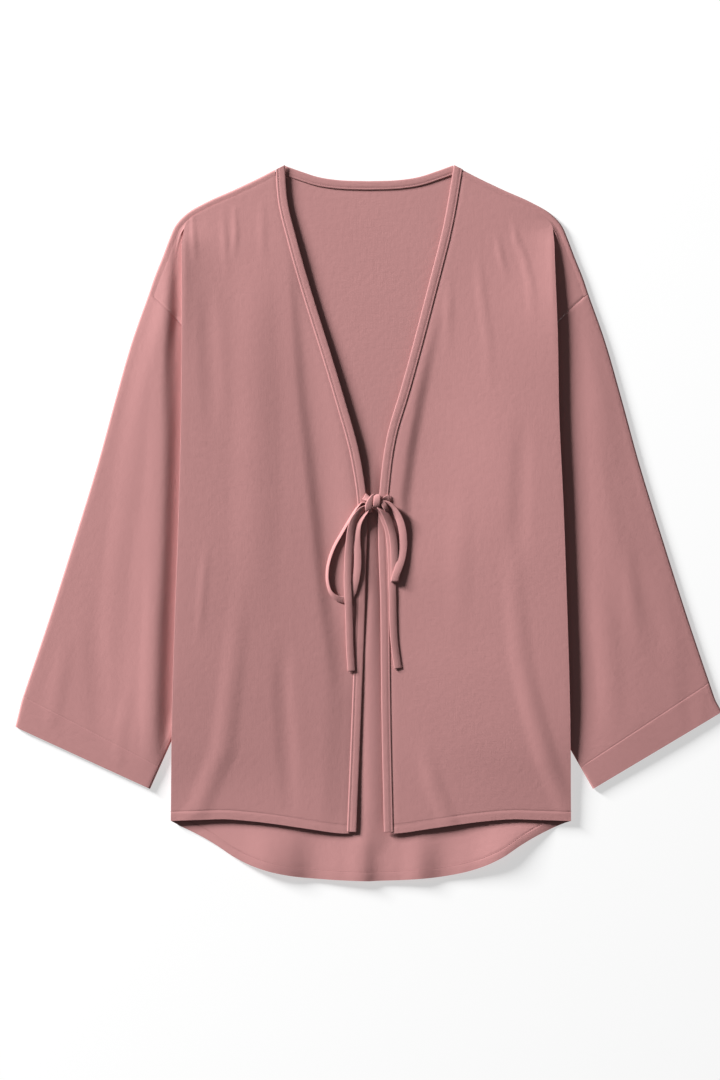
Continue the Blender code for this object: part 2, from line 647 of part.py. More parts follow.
def ribbon(name, rows):
    """Flat strap along its middle line, rolled about it, with soft long edges."""
    points = np.column_stack([rows["x"], rows["y"], rows["z"]])
    run = lengths(points)
    count = int(round(run[-1] / TIE_STEP))
    places = np.linspace(0, run[-1], count + 1)
    middle = np.column_stack([smooth(run, column, places) for column in points.T])
    roll = np.radians(smooth(run, rows["roll"], places))
    way = np.gradient(middle, axis=0)
    half, thin = TIE_WIDTH / 2, TIE_CLOTH / 2
    section = ((-half, 0), (-half * 0.85, -thin), (half * 0.85, -thin),
               (half, 0), (half * 0.85, thin), (-half * 0.85, thin))
    bm = bmesh.new()
    rings = []
    for place, heading, turn in zip(middle, way, roll):
        heading = Vector(heading).normalized()
        level = heading.cross(Vector((0, 0, 1))).normalized()
        upright = level.cross(heading)
        wide = level * math.cos(turn) + upright * math.sin(turn)
        flat = heading.cross(wide)
        ring = [bm.verts.new(Vector(place) + wide * u + flat * v) for u, v in section]
        rings.append(ring)
    for ring, following in zip(rings, rings[1:]):
        for corner in range(len(section)):
            after = (corner + 1) % len(section)
            bm.faces.new((ring[corner], ring[after], following[after], following[corner]))
    bm.faces.new(rings[0])
    bm.faces.new(rings[-1])
    bmesh.ops.recalc_face_normals(bm, faces=bm.faces)
    mesh = bpy.data.meshes.new(name)
    bm.to_mesh(mesh)
    bm.free()
    obj = bpy.data.objects.new(name, mesh)
    bpy.data.collections[COLLECTION].objects.link(obj)
    return obj


def knot(name):
    """Knot of the bow: three rounded lumps joined into one."""
    lumps = []
    for x, y, z, half_x, half_y, half_z in zip(*KNOT_LUMPS.values()):
        bpy.ops.mesh.primitive_uv_sphere_add(segments=14, ring_count=8, location=(x, y, z))
        lump = bpy.context.object
        lump.scale = (half_x, half_y, half_z)
        bpy.ops.object.transform_apply(location=True, scale=True, rotation=False)
        lumps.append(lump)
    whole = lumps[0]
    whole.name = name
    for lump in lumps[1:]:
        union = whole.modifiers.new("joined lump", "BOOLEAN")
        union.operation = "UNION"
        union.object = lump
        lump.hide_render = True
        lump.display_type = "WIRE"
        lump.name = "knot_lump"
        move_to(lump, CUTTERS)
    move_to(whole, COLLECTION)
    return whole


def move_to(obj, collection):
    """Put an object in one named collection only."""
    for holder in list(obj.users_collection):
        holder.objects.unlink(obj)
    bpy.data.collections[collection].objects.link(obj)


def finish(obj, colour):
    """Own matt cloth material, and smooth shading but for sharp edges."""
    material = bpy.data.materials.new(obj.name + " cloth")
    material.use_nodes = True
    shader = material.node_tree.nodes["Principled BSDF"]
    shader.inputs["Base Color"].default_value = (*colour, 1)
    shader.inputs["Roughness"].default_value = CLOTH_ROUGHNESS
    shader.inputs["Metallic"].default_value = 0.0
    obj.data.materials.append(material)
    obj.data.shade_smooth()
    obj.data.set_sharp_from_angle(angle=math.radians(40))


def build():
    """The whole jacket."""
    for obj in list(bpy.data.objects):
        bpy.data.objects.remove(obj)
    for name in (COLLECTION, CUTTERS):
        bpy.context.scene.collection.children.link(bpy.data.collections.new(name))
    back = cloth_object("back_panel", back_panel(), 1)
    add_mirror(back)
    add_wall(back, 1)
    finish(back, BACK_COLOUR)
    neck = cloth_object("band_neck", neck_band(), 1)
    add_mirror(neck)
    add_wall(neck, 1)
    finish(neck, BAND_COLOUR)
    for side, sign in SIDES.items():
        for name, grids, offset, colour in (
            ("front_" + side, front_panel(side), 1, PANEL_COLOUR),
            ("band_" + side, band(side), 1, BAND_COLOUR),
            ("sleeve_" + side, sleeve(side), -1, SLEEVE_COLOUR),
        ):
            piece = cloth_object(name, grids, sign)
            add_wall(piece, offset)
            finish(piece, colour)
    for name, rows in TIES.items():
        finish(ribbon(name, rows), TIE_COLOUR)
    finish(knot("tie_knot"), TIE_COLOUR)


build()
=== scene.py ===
# %% [markdown]
# # A tie-front kimono jacket, laid flat
# The jacket lies face up on a pale floor: a back panel, two fronts that are folded over the sleeves at
# the sides, two wide sleeves, a narrow band round the edge and a bow. Its solids are plain walls, made
# for weight and contact. This lesson dresses them: each panel gets a finer shell of cloth of the same
# outline, with its creases, seams, hems, stitches and weave, so that it can be looked at closely.

# %% The frame
import math
import bmesh
import bpy
import numpy as np
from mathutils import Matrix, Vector


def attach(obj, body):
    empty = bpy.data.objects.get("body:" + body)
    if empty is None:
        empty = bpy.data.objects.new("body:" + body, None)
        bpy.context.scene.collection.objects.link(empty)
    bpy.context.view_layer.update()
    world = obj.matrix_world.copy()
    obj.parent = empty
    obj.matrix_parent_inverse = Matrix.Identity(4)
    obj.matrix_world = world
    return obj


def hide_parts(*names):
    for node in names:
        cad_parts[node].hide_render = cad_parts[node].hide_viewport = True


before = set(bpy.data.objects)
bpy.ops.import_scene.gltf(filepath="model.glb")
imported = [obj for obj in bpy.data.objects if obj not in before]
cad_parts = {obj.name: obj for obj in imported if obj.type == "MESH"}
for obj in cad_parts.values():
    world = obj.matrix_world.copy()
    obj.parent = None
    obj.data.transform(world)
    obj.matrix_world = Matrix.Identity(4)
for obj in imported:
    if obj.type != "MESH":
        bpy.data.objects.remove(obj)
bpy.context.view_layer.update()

# %% [markdown]
# ## Camera
# A garment laid on a floor is photographed from straight above. A long lens keeps the sleeves from
# looking bigger than the middle, so the camera stands 3.3 m up with a 100 mm lens. Its sensor is fitted
# to the height of the picture, which covers 1.19 m of the floor.

# %% The camera
VIEW_CENTRE = (-0.00935, -0.0187)
VIEW_HEIGHT = 1.188
MIDDLE_LAYER = 0.005        # height over the floor at which the picture covers that much
LENS = 100.0
SENSOR = 36.0

camera_data = bpy.data.cameras.new("camera")
camera_data.lens = LENS
camera_data.sensor_fit = "VERTICAL"
camera_data.sensor_height = SENSOR
camera = bpy.data.objects.new("camera", camera_data)
camera.location = (*VIEW_CENTRE, VIEW_HEIGHT * LENS / SENSOR + MIDDLE_LAYER)
bpy.context.scene.collection.objects.link(camera)
bpy.context.scene.camera = camera
print("camera height", round(camera.location.z, 3))

# %% [markdown]
# ## Tables and smooth lines
# A pattern cutter writes a panel down as a few measured points and draws smooth lines through them.
# These helpers do the same: a table holds a row for each measured place, in millimetres as on a
# pattern, and turns them into metres, which Blender counts in. `smooth` runs a curve through a column
# of it, and `at_length` finds the points that lie at given lengths along a line.

# %% Helpers for lines
NOT_LENGTHS = ("roll", "width")     # columns in degrees and in shares of the full width


def table(names, *rows):
    """A short table: a name for each column and a row of millimetres for each place."""
    columns = zip(names.split(), zip(*rows))
    return {name: np.array(column) / (1 if name in NOT_LENGTHS else 1000) for name, column in columns}


def smooth(places, values, at):
    """Values at some places, on a smooth curve through the rows of a table."""
    order = np.argsort(places)
    x, y = places[order], values[order]
    slope = np.gradient(y, x)
    at = np.clip(at, x[0], x[-1])
    i = np.clip(np.searchsorted(x, at) - 1, 0, len(x) - 2)
    span = x[i + 1] - x[i]
    t = (at - x[i]) / span
    start = (2 * t**3 - 3 * t**2 + 1) * y[i] + (t**3 - 2 * t**2 + t) * span * slope[i]
    end = (3 * t**2 - 2 * t**3) * y[i + 1] + (t**3 - t**2) * span * slope[i + 1]
    return start + end


def ease(t):
    """A soft step from 0 to 1."""
    t = np.clip(t, 0, 1)
    return t * t * (3 - 2 * t)


def lengths(points):
    """Length along a line at each of its points."""
    steps = np.linalg.norm(np.diff(points, axis=0), axis=1)
    return np.concatenate([[0], np.cumsum(steps)])


def at_length(points, places):
    """Points at given lengths along a line."""
    run = lengths(points)
    return np.column_stack([np.interp(places, run, column) for column in points.T])


def curve(rows, *names, count=400):
    """Fine line through the rows of a table, smooth in the named columns."""
    points = np.column_stack([rows[name] for name in names])
    run = lengths(points)
    fine = np.linspace(0, run[-1], count)
    return np.column_stack([smooth(run, column, fine) for column in points.T])


def left_of(points):
    """Unit direction to the left of a flat line, at each of its points."""
    way = np.gradient(points, axis=0)
    turned = np.column_stack([-way[:, 1], way[:, 0]])
    return turned / np.linalg.norm(turned, axis=1)[:, None]


# %% [markdown]
# ## The bow and its straps
# Two narrow straps, turned inside out after sewing, are stitched to the front bands and tied in a bow.
# Each is one flat strap from its root on the band, through the knot, round its loop, through the knot
# again and down to its free end. So each is one line of points with a roll about it: at 0 the strap
# lies flat, at 90 degrees it stands on its edge, and past that its other face is up. A closed section
# is swept along that line, because a swept strap keeps its width however it turns, which a simulated
# one wouldn't. Inside the knot, where it is squeezed, the strap takes a share of its full width.

# %% The straps
STRAP_WIDTH = 0.0085
STRAP_CLOTH = 0.0013
STRAP_STEP = 0.0010
STEEP = 0.6                 # length of a level direction below which the strap climbs too steeply
SIDES = {"right": -1, "left": 1}      # the wearer's sides

STRAPS = {
    "right": table(
        "x y z roll width",
        (-4.8, 29.2, 7, 2, 0.9), (-2.6, 27.8, 7.5, 14, 0.9), (-0.4, 26.2, 8.4, 34, 0.8),
        (2, 24, 9.1, 50, 0.6), (3.8, 22.2, 9.3, 58, 0.5), (2.2, 21, 9.3, 66, 0.5),
        (-2.2, 21.2, 9.3, 76, 0.6), (-6.6, 22.2, 9.1, 88, 0.75), (-11.5, 17.8, 8.7, 104, 0.65),
        (-18, 8, 8.1, 122, 0.56), (-24, -2.2, 7.6, 132, 0.54), (-30, -12.5, 7.1, 136, 0.54),
        (-37, -25, 6.7, 138, 0.54), (-42.6, -39.7, 6.6, 138, 0.54), (-45.2, -54.4, 6.7, 138, 0.54),
        (-44.6, -66.8, 6.8, 138, 0.56), (-41.2, -76.5, 6.7, 142, 0.62), (-35.2, -82.2, 6.4, 152, 0.78),
        (-28.7, -84.2, 6.3, 164, 0.92), (-22.5, -82.8, 6.6, 174, 1), (-18, -77.5, 7, 180, 1),
        (-15.6, -70, 7.3, 184, 1), (-13.4, -60, 7.7, 186, 1), (-12, -48.5, 7.9, 186, 1),
        (-11.8, -35.3, 7.9, 186, 1), (-12.6, -22, 8, 190, 1), (-12.6, -9, 8.2, 200, 1),
        (-9.8, 1.8, 8.6, 214, 0.95), (-5.6, 7.8, 9, 226, 0.8), (-1.2, 13, 9.2, 236, 0.6),
        (0.8, 16.5, 9.3, 240, 0.5), (-2, 17.6, 9.4, 232, 0.6), (-6, 15.4, 9.8, 214, 0.85),
        (-12, 9.2, 10, 202, 0.95), (-17, 0.5, 9.6, 196, 1), (-19.4, -9, 9.2, 192, 1),
        (-20.6, -19, 8.8, 188, 1), (-22, -33.8, 8.5, 184, 1), (-22.5, -48.5, 8.4, 182, 1),
        (-23, -63.3, 8.3, 180, 1), (-22.4, -78, 8.3, 180, 1), (-22, -86, 8.2, 180, 1),
        (-21.6, -95, 7.6, 180, 1), (-21.1, -107.5, 6.6, 181, 1), (-20.4, -137, 5.8, 183, 1),
        (-18.7, -163, 5.6, 184, 1),
    ),
    "left": table(
        "x y z roll width",
        (23.6, 27.2, 7.4, 4, 1), (20, 26.2, 7.9, 12, 0.95), (16, 24.6, 8.8, 28, 0.75),
        (11.8, 22.8, 9.3, 44, 0.55), (9.4, 20.6, 9.6, 52, 0.5), (10.6, 17.8, 9.8, 50, 0.6),
        (14, 15, 10, 40, 0.8), (18.6, 9.5, 10, 24, 0.95), (22.8, 0.5, 9.6, 14, 1),
        (26.2, -11, 9.1, 8, 1), (28, -24, 8.9, 6, 1), (28.6, -38, 8.8, 4, 1), (28.6, -52, 8.7, 2, 1),
        (28.6, -60.5, 8.6, 0, 1), (28.6, -63.7, 8.7, 0, 1), (28.7, -64.8, 9.4, 0, 1),
        (28.8, -63.7, 10.1, 0, 1), (29.4, -60.5, 10.2, 0, 1), (31.4, -54, 10, 2, 1),
        (34.2, -46, 9.2, 4, 1.05), (36.6, -38, 8.4, 5, 1.05), (38.2, -28, 7.9, 5, 1.05),
        (38.4, -18, 7.9, 6, 1.05), (37, -6, 8.4, 12, 1.05), (33.6, 5.5, 9, 22, 1),
        (28.6, 14.5, 9.5, 34, 0.95), (23, 20.3, 9.8, 44, 0.8), (17.6, 22.6, 9.5, 40, 0.6),
        (14, 21.5, 8.8, 22, 0.55), (12.8, 18, 8.3, 8, 0.65), (14, 12.2, 7.8, 0, 0.9),
        (17.4, 5, 7.7, 0, 1), (21.5, -6, 7.4, 0, 1), (24, -20, 7.3, 0, 1), (25.2, -40, 7.2, 0, 1),
        (25.8, -60, 7.1, 0, 1), (26.5, -78, 7, 2, 1), (27, -100, 6.8, 4, 1), (28.4, -129.6, 6.6, 5, 1),
        (32.5, -160, 6.5, 6, 1),
    ),
}

# %% [markdown]
# ## Sweeping a strap
# A strap's section is flat, with round long edges. `sweep` sets that section square to the line at each
# place and joins the rings with faces. `strap_frames` first works out the line and, at each place, the
# directions across the strap and out of its face.

# %% A swept strap
def rounded_section(width, thick, steps=5):
    """Closed outline of a flat strap's section, with round long edges."""
    half, radius = width / 2, thick / 2
    outline = []
    for centre, start in ((half - radius, -90), (radius - half, 90)):
        for angle in np.radians(np.linspace(start, start + 180, steps)):
            outline.append((centre + radius * math.cos(angle), radius * math.sin(angle)))
    return np.array(outline)


def sweep(name, middle, wide, flat, section, scale=None):
    """Mesh of a section swept along a line, with its own UV map in metres."""
    bm = bmesh.new()
    uv = bm.loops.layers.uv.new("cloth")
    scale = np.ones(len(middle)) if scale is None else scale
    run = lengths(middle)
    around = lengths(np.vstack([section, section[:1]]))
    rings = []
    for place, across, up, size in zip(middle, wide, flat, scale):
        ring = place + section[:, :1] * size * across + section[:, 1:] * up
        rings.append([bm.verts.new(point) for point in ring])
    count = len(section)
    for row in range(len(rings) - 1):
        for corner in range(count):
            after = (corner + 1) % count
            face = bm.faces.new((rings[row][corner], rings[row][after],
                                 rings[row + 1][after], rings[row + 1][corner]))
            face.smooth = True
            marks = ((row, corner), (row, corner + 1), (row + 1, corner + 1), (row + 1, corner))
            for loop, (line, place) in zip(face.loops, marks):
                loop[uv].uv = (around[place], run[line])
    for ring in (rings[0], rings[-1]):
        face = bm.faces.new(ring)
        for loop in face.loops:
            loop[uv].uv = loop.vert.co.xy
    bmesh.ops.recalc_face_normals(bm, faces=bm.faces)
    mesh = bpy.data.meshes.new(name)
    bm.to_mesh(mesh)
    bm.free()
    obj = bpy.data.objects.new(name, mesh)
    bpy.context.scene.collection.objects.link(obj)
    return obj


def strap_frames(rows):
    """Middle line of a strap, its directions across and out of its face, and its width."""
    points = np.column_stack([rows["x"], rows["y"], rows["z"]])
    run = lengths(points)
    places = np.linspace(0, run[-1], int(run[-1] / STRAP_STEP) + 1)
    middle = np.column_stack([smooth(run, column, places) for column in points.T])
    roll = np.radians(smooth(run, rows["roll"], places))[:, None]
    way = np.gradient(middle, axis=0)
    way /= np.linalg.norm(way, axis=1)[:, None]
    # Where the strap folds back over itself, the level direction is carried on from before.
    level = np.cross(way, (0, 0, 1))
    for i in range(1, len(way)):
        if np.linalg.norm(level[i]) < STEEP:
            level[i] = level[i - 1] - (level[i - 1] @ way[i]) * way[i]
        level[i] *= math.copysign(1, level[i] @ level[i - 1])
    level /= np.linalg.norm(level, axis=1)[:, None]
    upright = np.cross(level, way)
    wide = level * np.cos(roll) + upright * np.sin(roll)
    return middle, wide, np.cross(way, wide), smooth(run, rows["width"], places)

# %% [markdown]
# ## Making the straps
# Each strap becomes one closed mesh, and its middle line is kept: its length is that of the real strap.

# %% The two straps
straps = {}
strap_lines = {}
for side, rows in STRAPS.items():
    middle, wide, flat, width = strap_frames(rows)
    section = rounded_section(STRAP_WIDTH, STRAP_CLOTH)
    straps[side] = sweep("strap_" + side, middle, wide, flat, section, width)
    strap_lines[side] = middle
    print("strap", side, round(lengths(middle)[-1], 3), "m long")

# %% [markdown]
# ## The pattern of the jacket
# These tables are the jacket's outline as it lies. "out" is the distance from the centre line, so one
# table can serve both sides. The two lifts say how far the underside of a front is above the floor,
# since it lies over the back near the middle and over a sleeve at the side. Single sizes are in metres.

# %% Sizes of the cloth
SHELL = 0.0009              # wall of the fine shells of cloth
SOLID = 0.0014              # wall of the plain solids, whose outer faces the shells keep
BAND_WIDTH = 0.0105
BAND_TOP = 0.0019
NECK_BAND_WIDTH = 0.010
SHOULDER_WRAP = 0.0065
SEAM_GAP = 0.00005
SEAM_DIP_WIDTH = 0.0022     # how far from a seam its cloth starts to sink
LEAST_RADIUS = 0.00005      # of a side fold, at its apex
TUCK = 0.0018               # how far a panel runs on under its band
HEM_WIDTH = 0.010
CUFF_HEM = 0.035
FLAT_TUBE = 0.0044
EDGE_RADIUS = FLAT_TUBE / 2
LEG_UNDERSIDE = 0.00485     # of the cloth that returns under the side fold
SLOPE = 0.006               # width in which that cloth comes down off the sleeve
STEP = 0.0032               # usual distance between the points of a shell
ARC_STEPS = 7               # of a round fold
print("a shell is", SHELL * 1000, "mm thick on solids of", SOLID * 1000, "mm")

# %% [markdown]
# ## The outline
# Next come the edges, seams and folds themselves. Each front has its own free edge and side fold,
# because the two lie a little differently. The rest is the same on both sides.

# %% The outline
SHOULDER = table(
    "out y",
    (93.5, 394), (121.5, 379.5), (149.5, 366.2), (179, 353), (201, 340), (213, 327), (219, 313.5),
    (226.5, 293.8), (237, 267.3), (241.7, 253),
)
FOLD_START = 0.124          # length along the shoulder at which the side folds begin
NECK = table(
    "out y",
    (0, 376.5), (36, 378), (55, 381), (74, 387), (93.5, 394),
)
FRONT_EDGE = {
    "right": table(
        "y out",
        (394, 92), (355, 89), (311, 78.5), (245, 59.5), (190, 42.2), (135, 25.7), (80, 10.5), (36, 3),
        (-65, 3), (-194, 7.2), (-340, 13.1),
    ),
    "left": table(
        "y out",
        (394, 94), (332, 83.3), (258.5, 65.1), (147, 35.3), (97, 20.6), (36, 12.2), (-99, 13.1),
        (-223, 14.5), (-340, 17),
    ),
}
FOLD = {
    "right": table(
        "y out",
        (333, 205.5), (212, 205.2), (113, 206.2), (3, 209), (-107, 213), (-217, 216.2), (-328.6, 217.5),
    ),
    "left": table(
        "y out",
        (333, 203.8), (289, 205), (212, 208), (113, 210), (25, 214.2), (-85, 218.2), (-195, 221.5),
        (-328.6, 222.8),
    ),
}
FRONT_HEM = table(
    "out y",
    (0, -340), (26, -341.5), (66, -336.5), (100, -331.5), (124, -328.5), (158, -325.8), (187, -326.6),
    (223, -327.8),
)
BACK_HEM = table(
    "out y",
    (0, -394), (45, -392.2), (87, -388), (112, -382.5), (134, -374.5), (151, -365.5), (165, -356),
    (181, -346.5), (200, -337), (223, -327.5),
)
SHOULDER_TIP = np.array((0.2417, 0.2530))
UNDERARM = np.array((0.1500, 0.0700))
UNDERARM_Y = 0.068          # below this the returning cloth comes down to the side seam
UNDERARM_DROP = 0.023
ARMHOLE_BOW = 0.0234
SIDE_SEAM = table(
    "y out",
    (62, 143), (45, 143), (-60, 157.5), (-140, 176.5), (-245, 204.5), (-334, 208.5),
)
HIDDEN_FOLD = table(
    "y out",
    (324, 203), (312, 204), (280, 197.5), (240, 187.5), (195, 174), (155, 162), (112, 152),
    (71.5, 149.2),
)
SLEEVE_OUTER = table(
    "out y",
    (241.7, 253), (260, 201.3), (279, 135.3), (297, 69.3), (324, -18.7), (352, -106.7), (381.7, -194.7),
)
SLEEVE_INNER = table(
    "out y",
    (150, 70), (163, -50), (188, -150), (216.2, -238.7),
)
CUFF = {
    "right": {"outer": (0.3889, -0.2244), "inner": (0.2404, -0.2926)},
    "left": {"outer": (0.3889, -0.2079), "inner": (0.2470, -0.2926)},
}
CUFF_TIP = (0.3889, -0.2160)            # between the outer ends of the two cuffs
EDGE_LIFT = table(
    "y z",
    (394, 3), (380, 3), (300, 4.2), (200, 4.8), (80, 4.6), (0, 4.7), (-150, 4), (-300, 4), (-340, 4.6),
)
FOLD_LIFT = table(
    "y z",
    (340, 3), (333, 3.1), (324, 4), (310, 6.4), (290, 8.2), (260, 9.4), (150, 9.8), (0, 9.8),
    (-100, 9.8), (-200, 9.2), (-245, 7.8), (-290, 5.2), (-328, 4.2), (-340, 4.2),
)

# %% [markdown]
# ## Grids between edges
# A panel is a grid of points between four edges. `fill` blends the opposite edges, so that the grid
# follows all four. `spread` sets its columns and rows, closer together near an edge, where the cloth
# dips to its seam.

# %% Grids
def spread(length, step=STEP, close=(0.0005, 0.0013, 0.0025, 0.0045)):
    """Places along a length, a step apart, with closer ones at both ends for the dip at a seam."""
    close = np.array(close)
    inner = np.linspace(close[-1], length - close[-1], max(2, int((length - 2 * close[-1]) / step)))
    return np.concatenate([[0], close[:-1], inner, length - close[-2::-1], [length]])


def fill(top, bottom, first, last):
    """Grid of points between four edges: top and bottom run across, first and last run down."""
    across = (lengths(top) / lengths(top)[-1])[None, :, None]
    down = (lengths(last) / lengths(last)[-1])[:, None, None]
    between_rows = (1 - down) * top[None] + down * bottom[None]
    between_columns = (1 - across) * first[:, None] + across * last[:, None]
    top_corners = (1 - across) * top[0] + across * top[-1]
    bottom_corners = (1 - across) * bottom[0] + across * bottom[-1]
    return between_rows + between_columns - (1 - down) * top_corners - down * bottom_corners

# %% [markdown]
# ## Seams and folds as lines
# These give the shoulder line, the armhole and the fold of each side as points, wherever a panel needs
# them. Both panels at a seam ask the same function, so their edges run side by side.

# %% Seams and folds
SHOULDER_LINE = curve(SHOULDER, "out", "y")
SHOULDER_LENGTH = lengths(SHOULDER_LINE)[-1]
NECK_SEAM_WAY = (-0.085, -0.996)
END_BLEND = 0.030           # stretch over which the wrap turns to meet the seams at its ends


def armhole(share, shift=0.0):
    """Points of the armhole seam, from the shoulder tip to the underarm, moved off the body."""
    chord = UNDERARM - SHOULDER_TIP
    to_body = np.array((chord[1], -chord[0])) / np.linalg.norm(chord)
    fine = np.linspace(0, 1, 101)[:, None]
    seam = SHOULDER_TIP + fine * chord + ARMHOLE_BOW * 4 * fine * (1 - fine) * to_body
    seam = seam + left_of(seam) * shift
    return np.column_stack([np.interp(share, fine[:, 0], column) for column in seam.T])


def shoulder(inset, stations):
    """Points inside the shoulder outline, square to it but for its two ends."""
    line = at_length(SHOULDER_LINE, stations)
    run = lengths(SHOULDER_LINE)
    normals = left_of(SHOULDER_LINE)
    inward = -np.column_stack([np.interp(stations, run, column) for column in normals.T])
    seam = armhole((0, 0.02))
    down_armhole = (seam[1] - seam[0]) / np.linalg.norm(seam[1] - seam[0])
    start = 1 - ease((stations - BAND_WIDTH) / END_BLEND)[:, None]
    end = 1 - ease((SHOULDER_LENGTH - stations) / END_BLEND)[:, None]
    inward = inward * (1 - start) * (1 - end) + np.array(NECK_SEAM_WAY) * start + down_armhole * end
    return line + inward / np.linalg.norm(inward, axis=1)[:, None] * inset


def front_edge(side):
    """Free edge of a front, from the neck down."""
    return curve(FRONT_EDGE[side], "out", "y")


def fold_out(side, y):
    """How far out the side fold of a front is."""
    return smooth(FOLD[side]["y"], FOLD[side]["out"], y)


def hidden_out(y):
    """How far out the cloth that returns under the side fold ends."""
    upper = np.interp(y, HIDDEN_FOLD["y"][::-1], HIDDEN_FOLD["out"][::-1])
    lower = np.interp(y, SIDE_SEAM["y"][::-1], SIDE_SEAM["out"][::-1])
    return np.where(np.asarray(y) > UNDERARM_Y, upper, lower)


print("shoulder line", round(SHOULDER_LENGTH, 3), "m")

# %% [markdown]
# ## Creases
# Cloth that lies loose keeps soft ridges and troughs. Light that comes in low from one side shows a
# slope of a few hundredths, so a crease is only a millimetre or two high. Each is a line of a few
# places with its own half width and height there, so it can swell, narrow and fade as a real one does.
# Some have an inner half width too, on the side of the centre line, because a fold that has slipped is
# steep on one side and slack on the other. They are placed one by one: noise would look even all over,
# and cloth doesn't. Beside each side fold the sleeve puffs up by a profile of its own.

# %% The creases
def crease(points, rows):
    """Height that one soft ridge, or a trough where it is negative, adds at points of out and y."""
    places = np.column_stack([rows["out"], rows["y"]])
    inner_half = rows.get("inner", rows["half"])
    nearest = np.full(len(points), np.inf)
    half, height = np.ones(len(points)), np.zeros(len(points))
    for i, (a, b) in enumerate(zip(places, places[1:])):
        way = b - a
        t = np.clip((points - a) @ way / (way @ way), 0, 1)
        off = points - a - t[:, None] * way
        distance = np.linalg.norm(off, axis=1)
        outward = way[0] * off[:, 1] - way[1] * off[:, 0] > 0
        outer = rows["half"][i] * (1 - t) + rows["half"][i + 1] * t
        inner = inner_half[i] * (1 - t) + inner_half[i + 1] * t
        closer = distance < nearest
        nearest = np.where(closer, distance, nearest)
        half = np.where(closer, np.where(outward, outer, inner), half)
        height = np.where(closer, rows["height"][i] * (1 - t) + rows["height"][i + 1] * t, height)
    return height * np.clip(1 - (nearest / half) ** 2, 0, 1) ** 2


def relief(plan, creases):
    """Sum of the creases over a grid of points."""
    points = plan.reshape(-1, 2)
    total = sum((crease(points, rows) for rows in creases), np.zeros(len(points)))
    return total.reshape(plan.shape[:-1])

# %% [markdown]
# ## Creases of the fronts
# The right front has a broad trough beside its band. The left one has the steep edge of a slipped fold
# there, with slack cloth outside it. Both have a ridge that runs down and out to the hem, and short
# ones that fan out under the shoulder.

# %% Creases of the fronts
FRONT_CREASES = {
    "right": [
        table("out y half inner height", (80, 300, 12, 20, 0), (75, 256, 13, 26, -0.8),
              (67, 157, 14, 34, -1.4), (59, 91, 15, 36, -1.7), (51, 25, 16, 36, -2.2),
              (44, -41, 17, 32, -2.4), (38, -96, 17, 26, -1.8), (32, -151, 16, 20, -0.8),
              (29, -190, 14, 16, 0)),
        table("out y half height", (125, 290, 26, 0), (124, 230, 28, 0.7), (123, 120, 30, 1),
              (124, 20, 32, 0.9), (125, -60, 30, 0.5), (126, -120, 28, 0)),
        table("out y half height", (178, 262, 12, 0), (176, 215, 14, -0.5), (173, 150, 15, -0.5),
              (171, 90, 14, 0)),
        table("out y half height", (177, -20, 6, 0), (180, -50, 6, 0.4), (184, -95, 7, 0.4),
              (187, -135, 6, 0)),
        table("out y half height", (140, -60, 15, 0), (149, -160, 16, 0.7), (160, -250, 17, 1),
              (186, -312, 16, 0.8), (203, -328, 14, 0.4)),
        table("out y half height", (93, -120, 12, 0), (94, -180, 14, -0.7), (90, -250, 15, -0.7),
              (86, -310, 12, -0.2)),
        table("out y half height", (193.5, 337, 4, 0.2), (192.5, 315, 5, 0.5), (190, 282, 5, 0)),
        table("out y half height", (14, -70, 30, 0), (15, -140, 32, -1.3), (20, -320, 34, -1.3),
              (21, -345, 34, -0.6)),
        table("out y half height", (147, 345, 4, 0.2), (146, 320, 5, 0.5), (149, 283, 6, 0)),
        table("out y half height", (161, 340, 5, 0.1), (158, 310, 6, 0.4), (156, 270, 6, 0)),
        table("out y half height", (117, 352, 6, 0.1), (117, 320, 7, 0.3), (116, 280, 7, 0)),
        table("out y half height", (196, 99, 4, 0), (183, 91, 4, 0.3), (172, 82, 4, 0)),
        table("out y half height", (194, 82, 3, 0), (186, 77, 4, 0.2), (178, 73, 3, 0)),
    ],
    "left": [
        table("out y half inner height", (86, 235, 60, 10, 0), (76, 190, 80, 12, -0.9),
              (66, 140, 100, 14, -2.1), (55, 80, 110, 14, -2.5), (48, 30, 110, 13, -2.2),
              (46, -10, 100, 12, -1.2), (46, -60, 80, 12, 0)),
        table("out y half height", (89, 275, 7, 0), (88, 235, 8, 0.4), (87, 180, 8, 0)),
        table("out y half height", (120, 300, 7, 0), (124, 255, 8, 0.4), (131, 200, 9, 0.3),
              (133, 130, 10, 0)),
        table("out y half height", (140, 322, 5, 0), (145, 295, 6, 0.5), (152, 265, 6, 0)),
        table("out y half height", (160, 333, 5, 0), (162, 312, 6, 0.5), (171, 292, 7, 0.5),
              (178, 262, 8, 0.4), (181, 215, 8, 0)),
        table("out y half height", (170, 120, 13, 0), (168, 70, 15, -0.5), (166, 0, 15, -0.5),
              (166, -45, 13, 0)),
        table("out y half height", (158, -20, 14, 0), (160, -80, 15, 0.5), (166, -145, 16, 0.8),
              (178, -200, 16, 1.1), (196, -262, 16, 1.2), (216, -312, 14, 0.5)),
        table("out y half height", (60, -240, 13, 0), (70, -285, 14, 0.7), (88, -328, 14, 0.5)),
        table("out y half height", (104, 60, 16, 0), (100, -40, 18, 0.4), (98, -140, 18, 0)),
    ],
}

# %% [markdown]
# ## Creases of the sleeves
# The sleeves have long, very low streaks towards the cuff. Beside each side fold they puff up, and this
# profile differs too: on the right it rises steeply within 20 mm of the fold, on the left slowly.

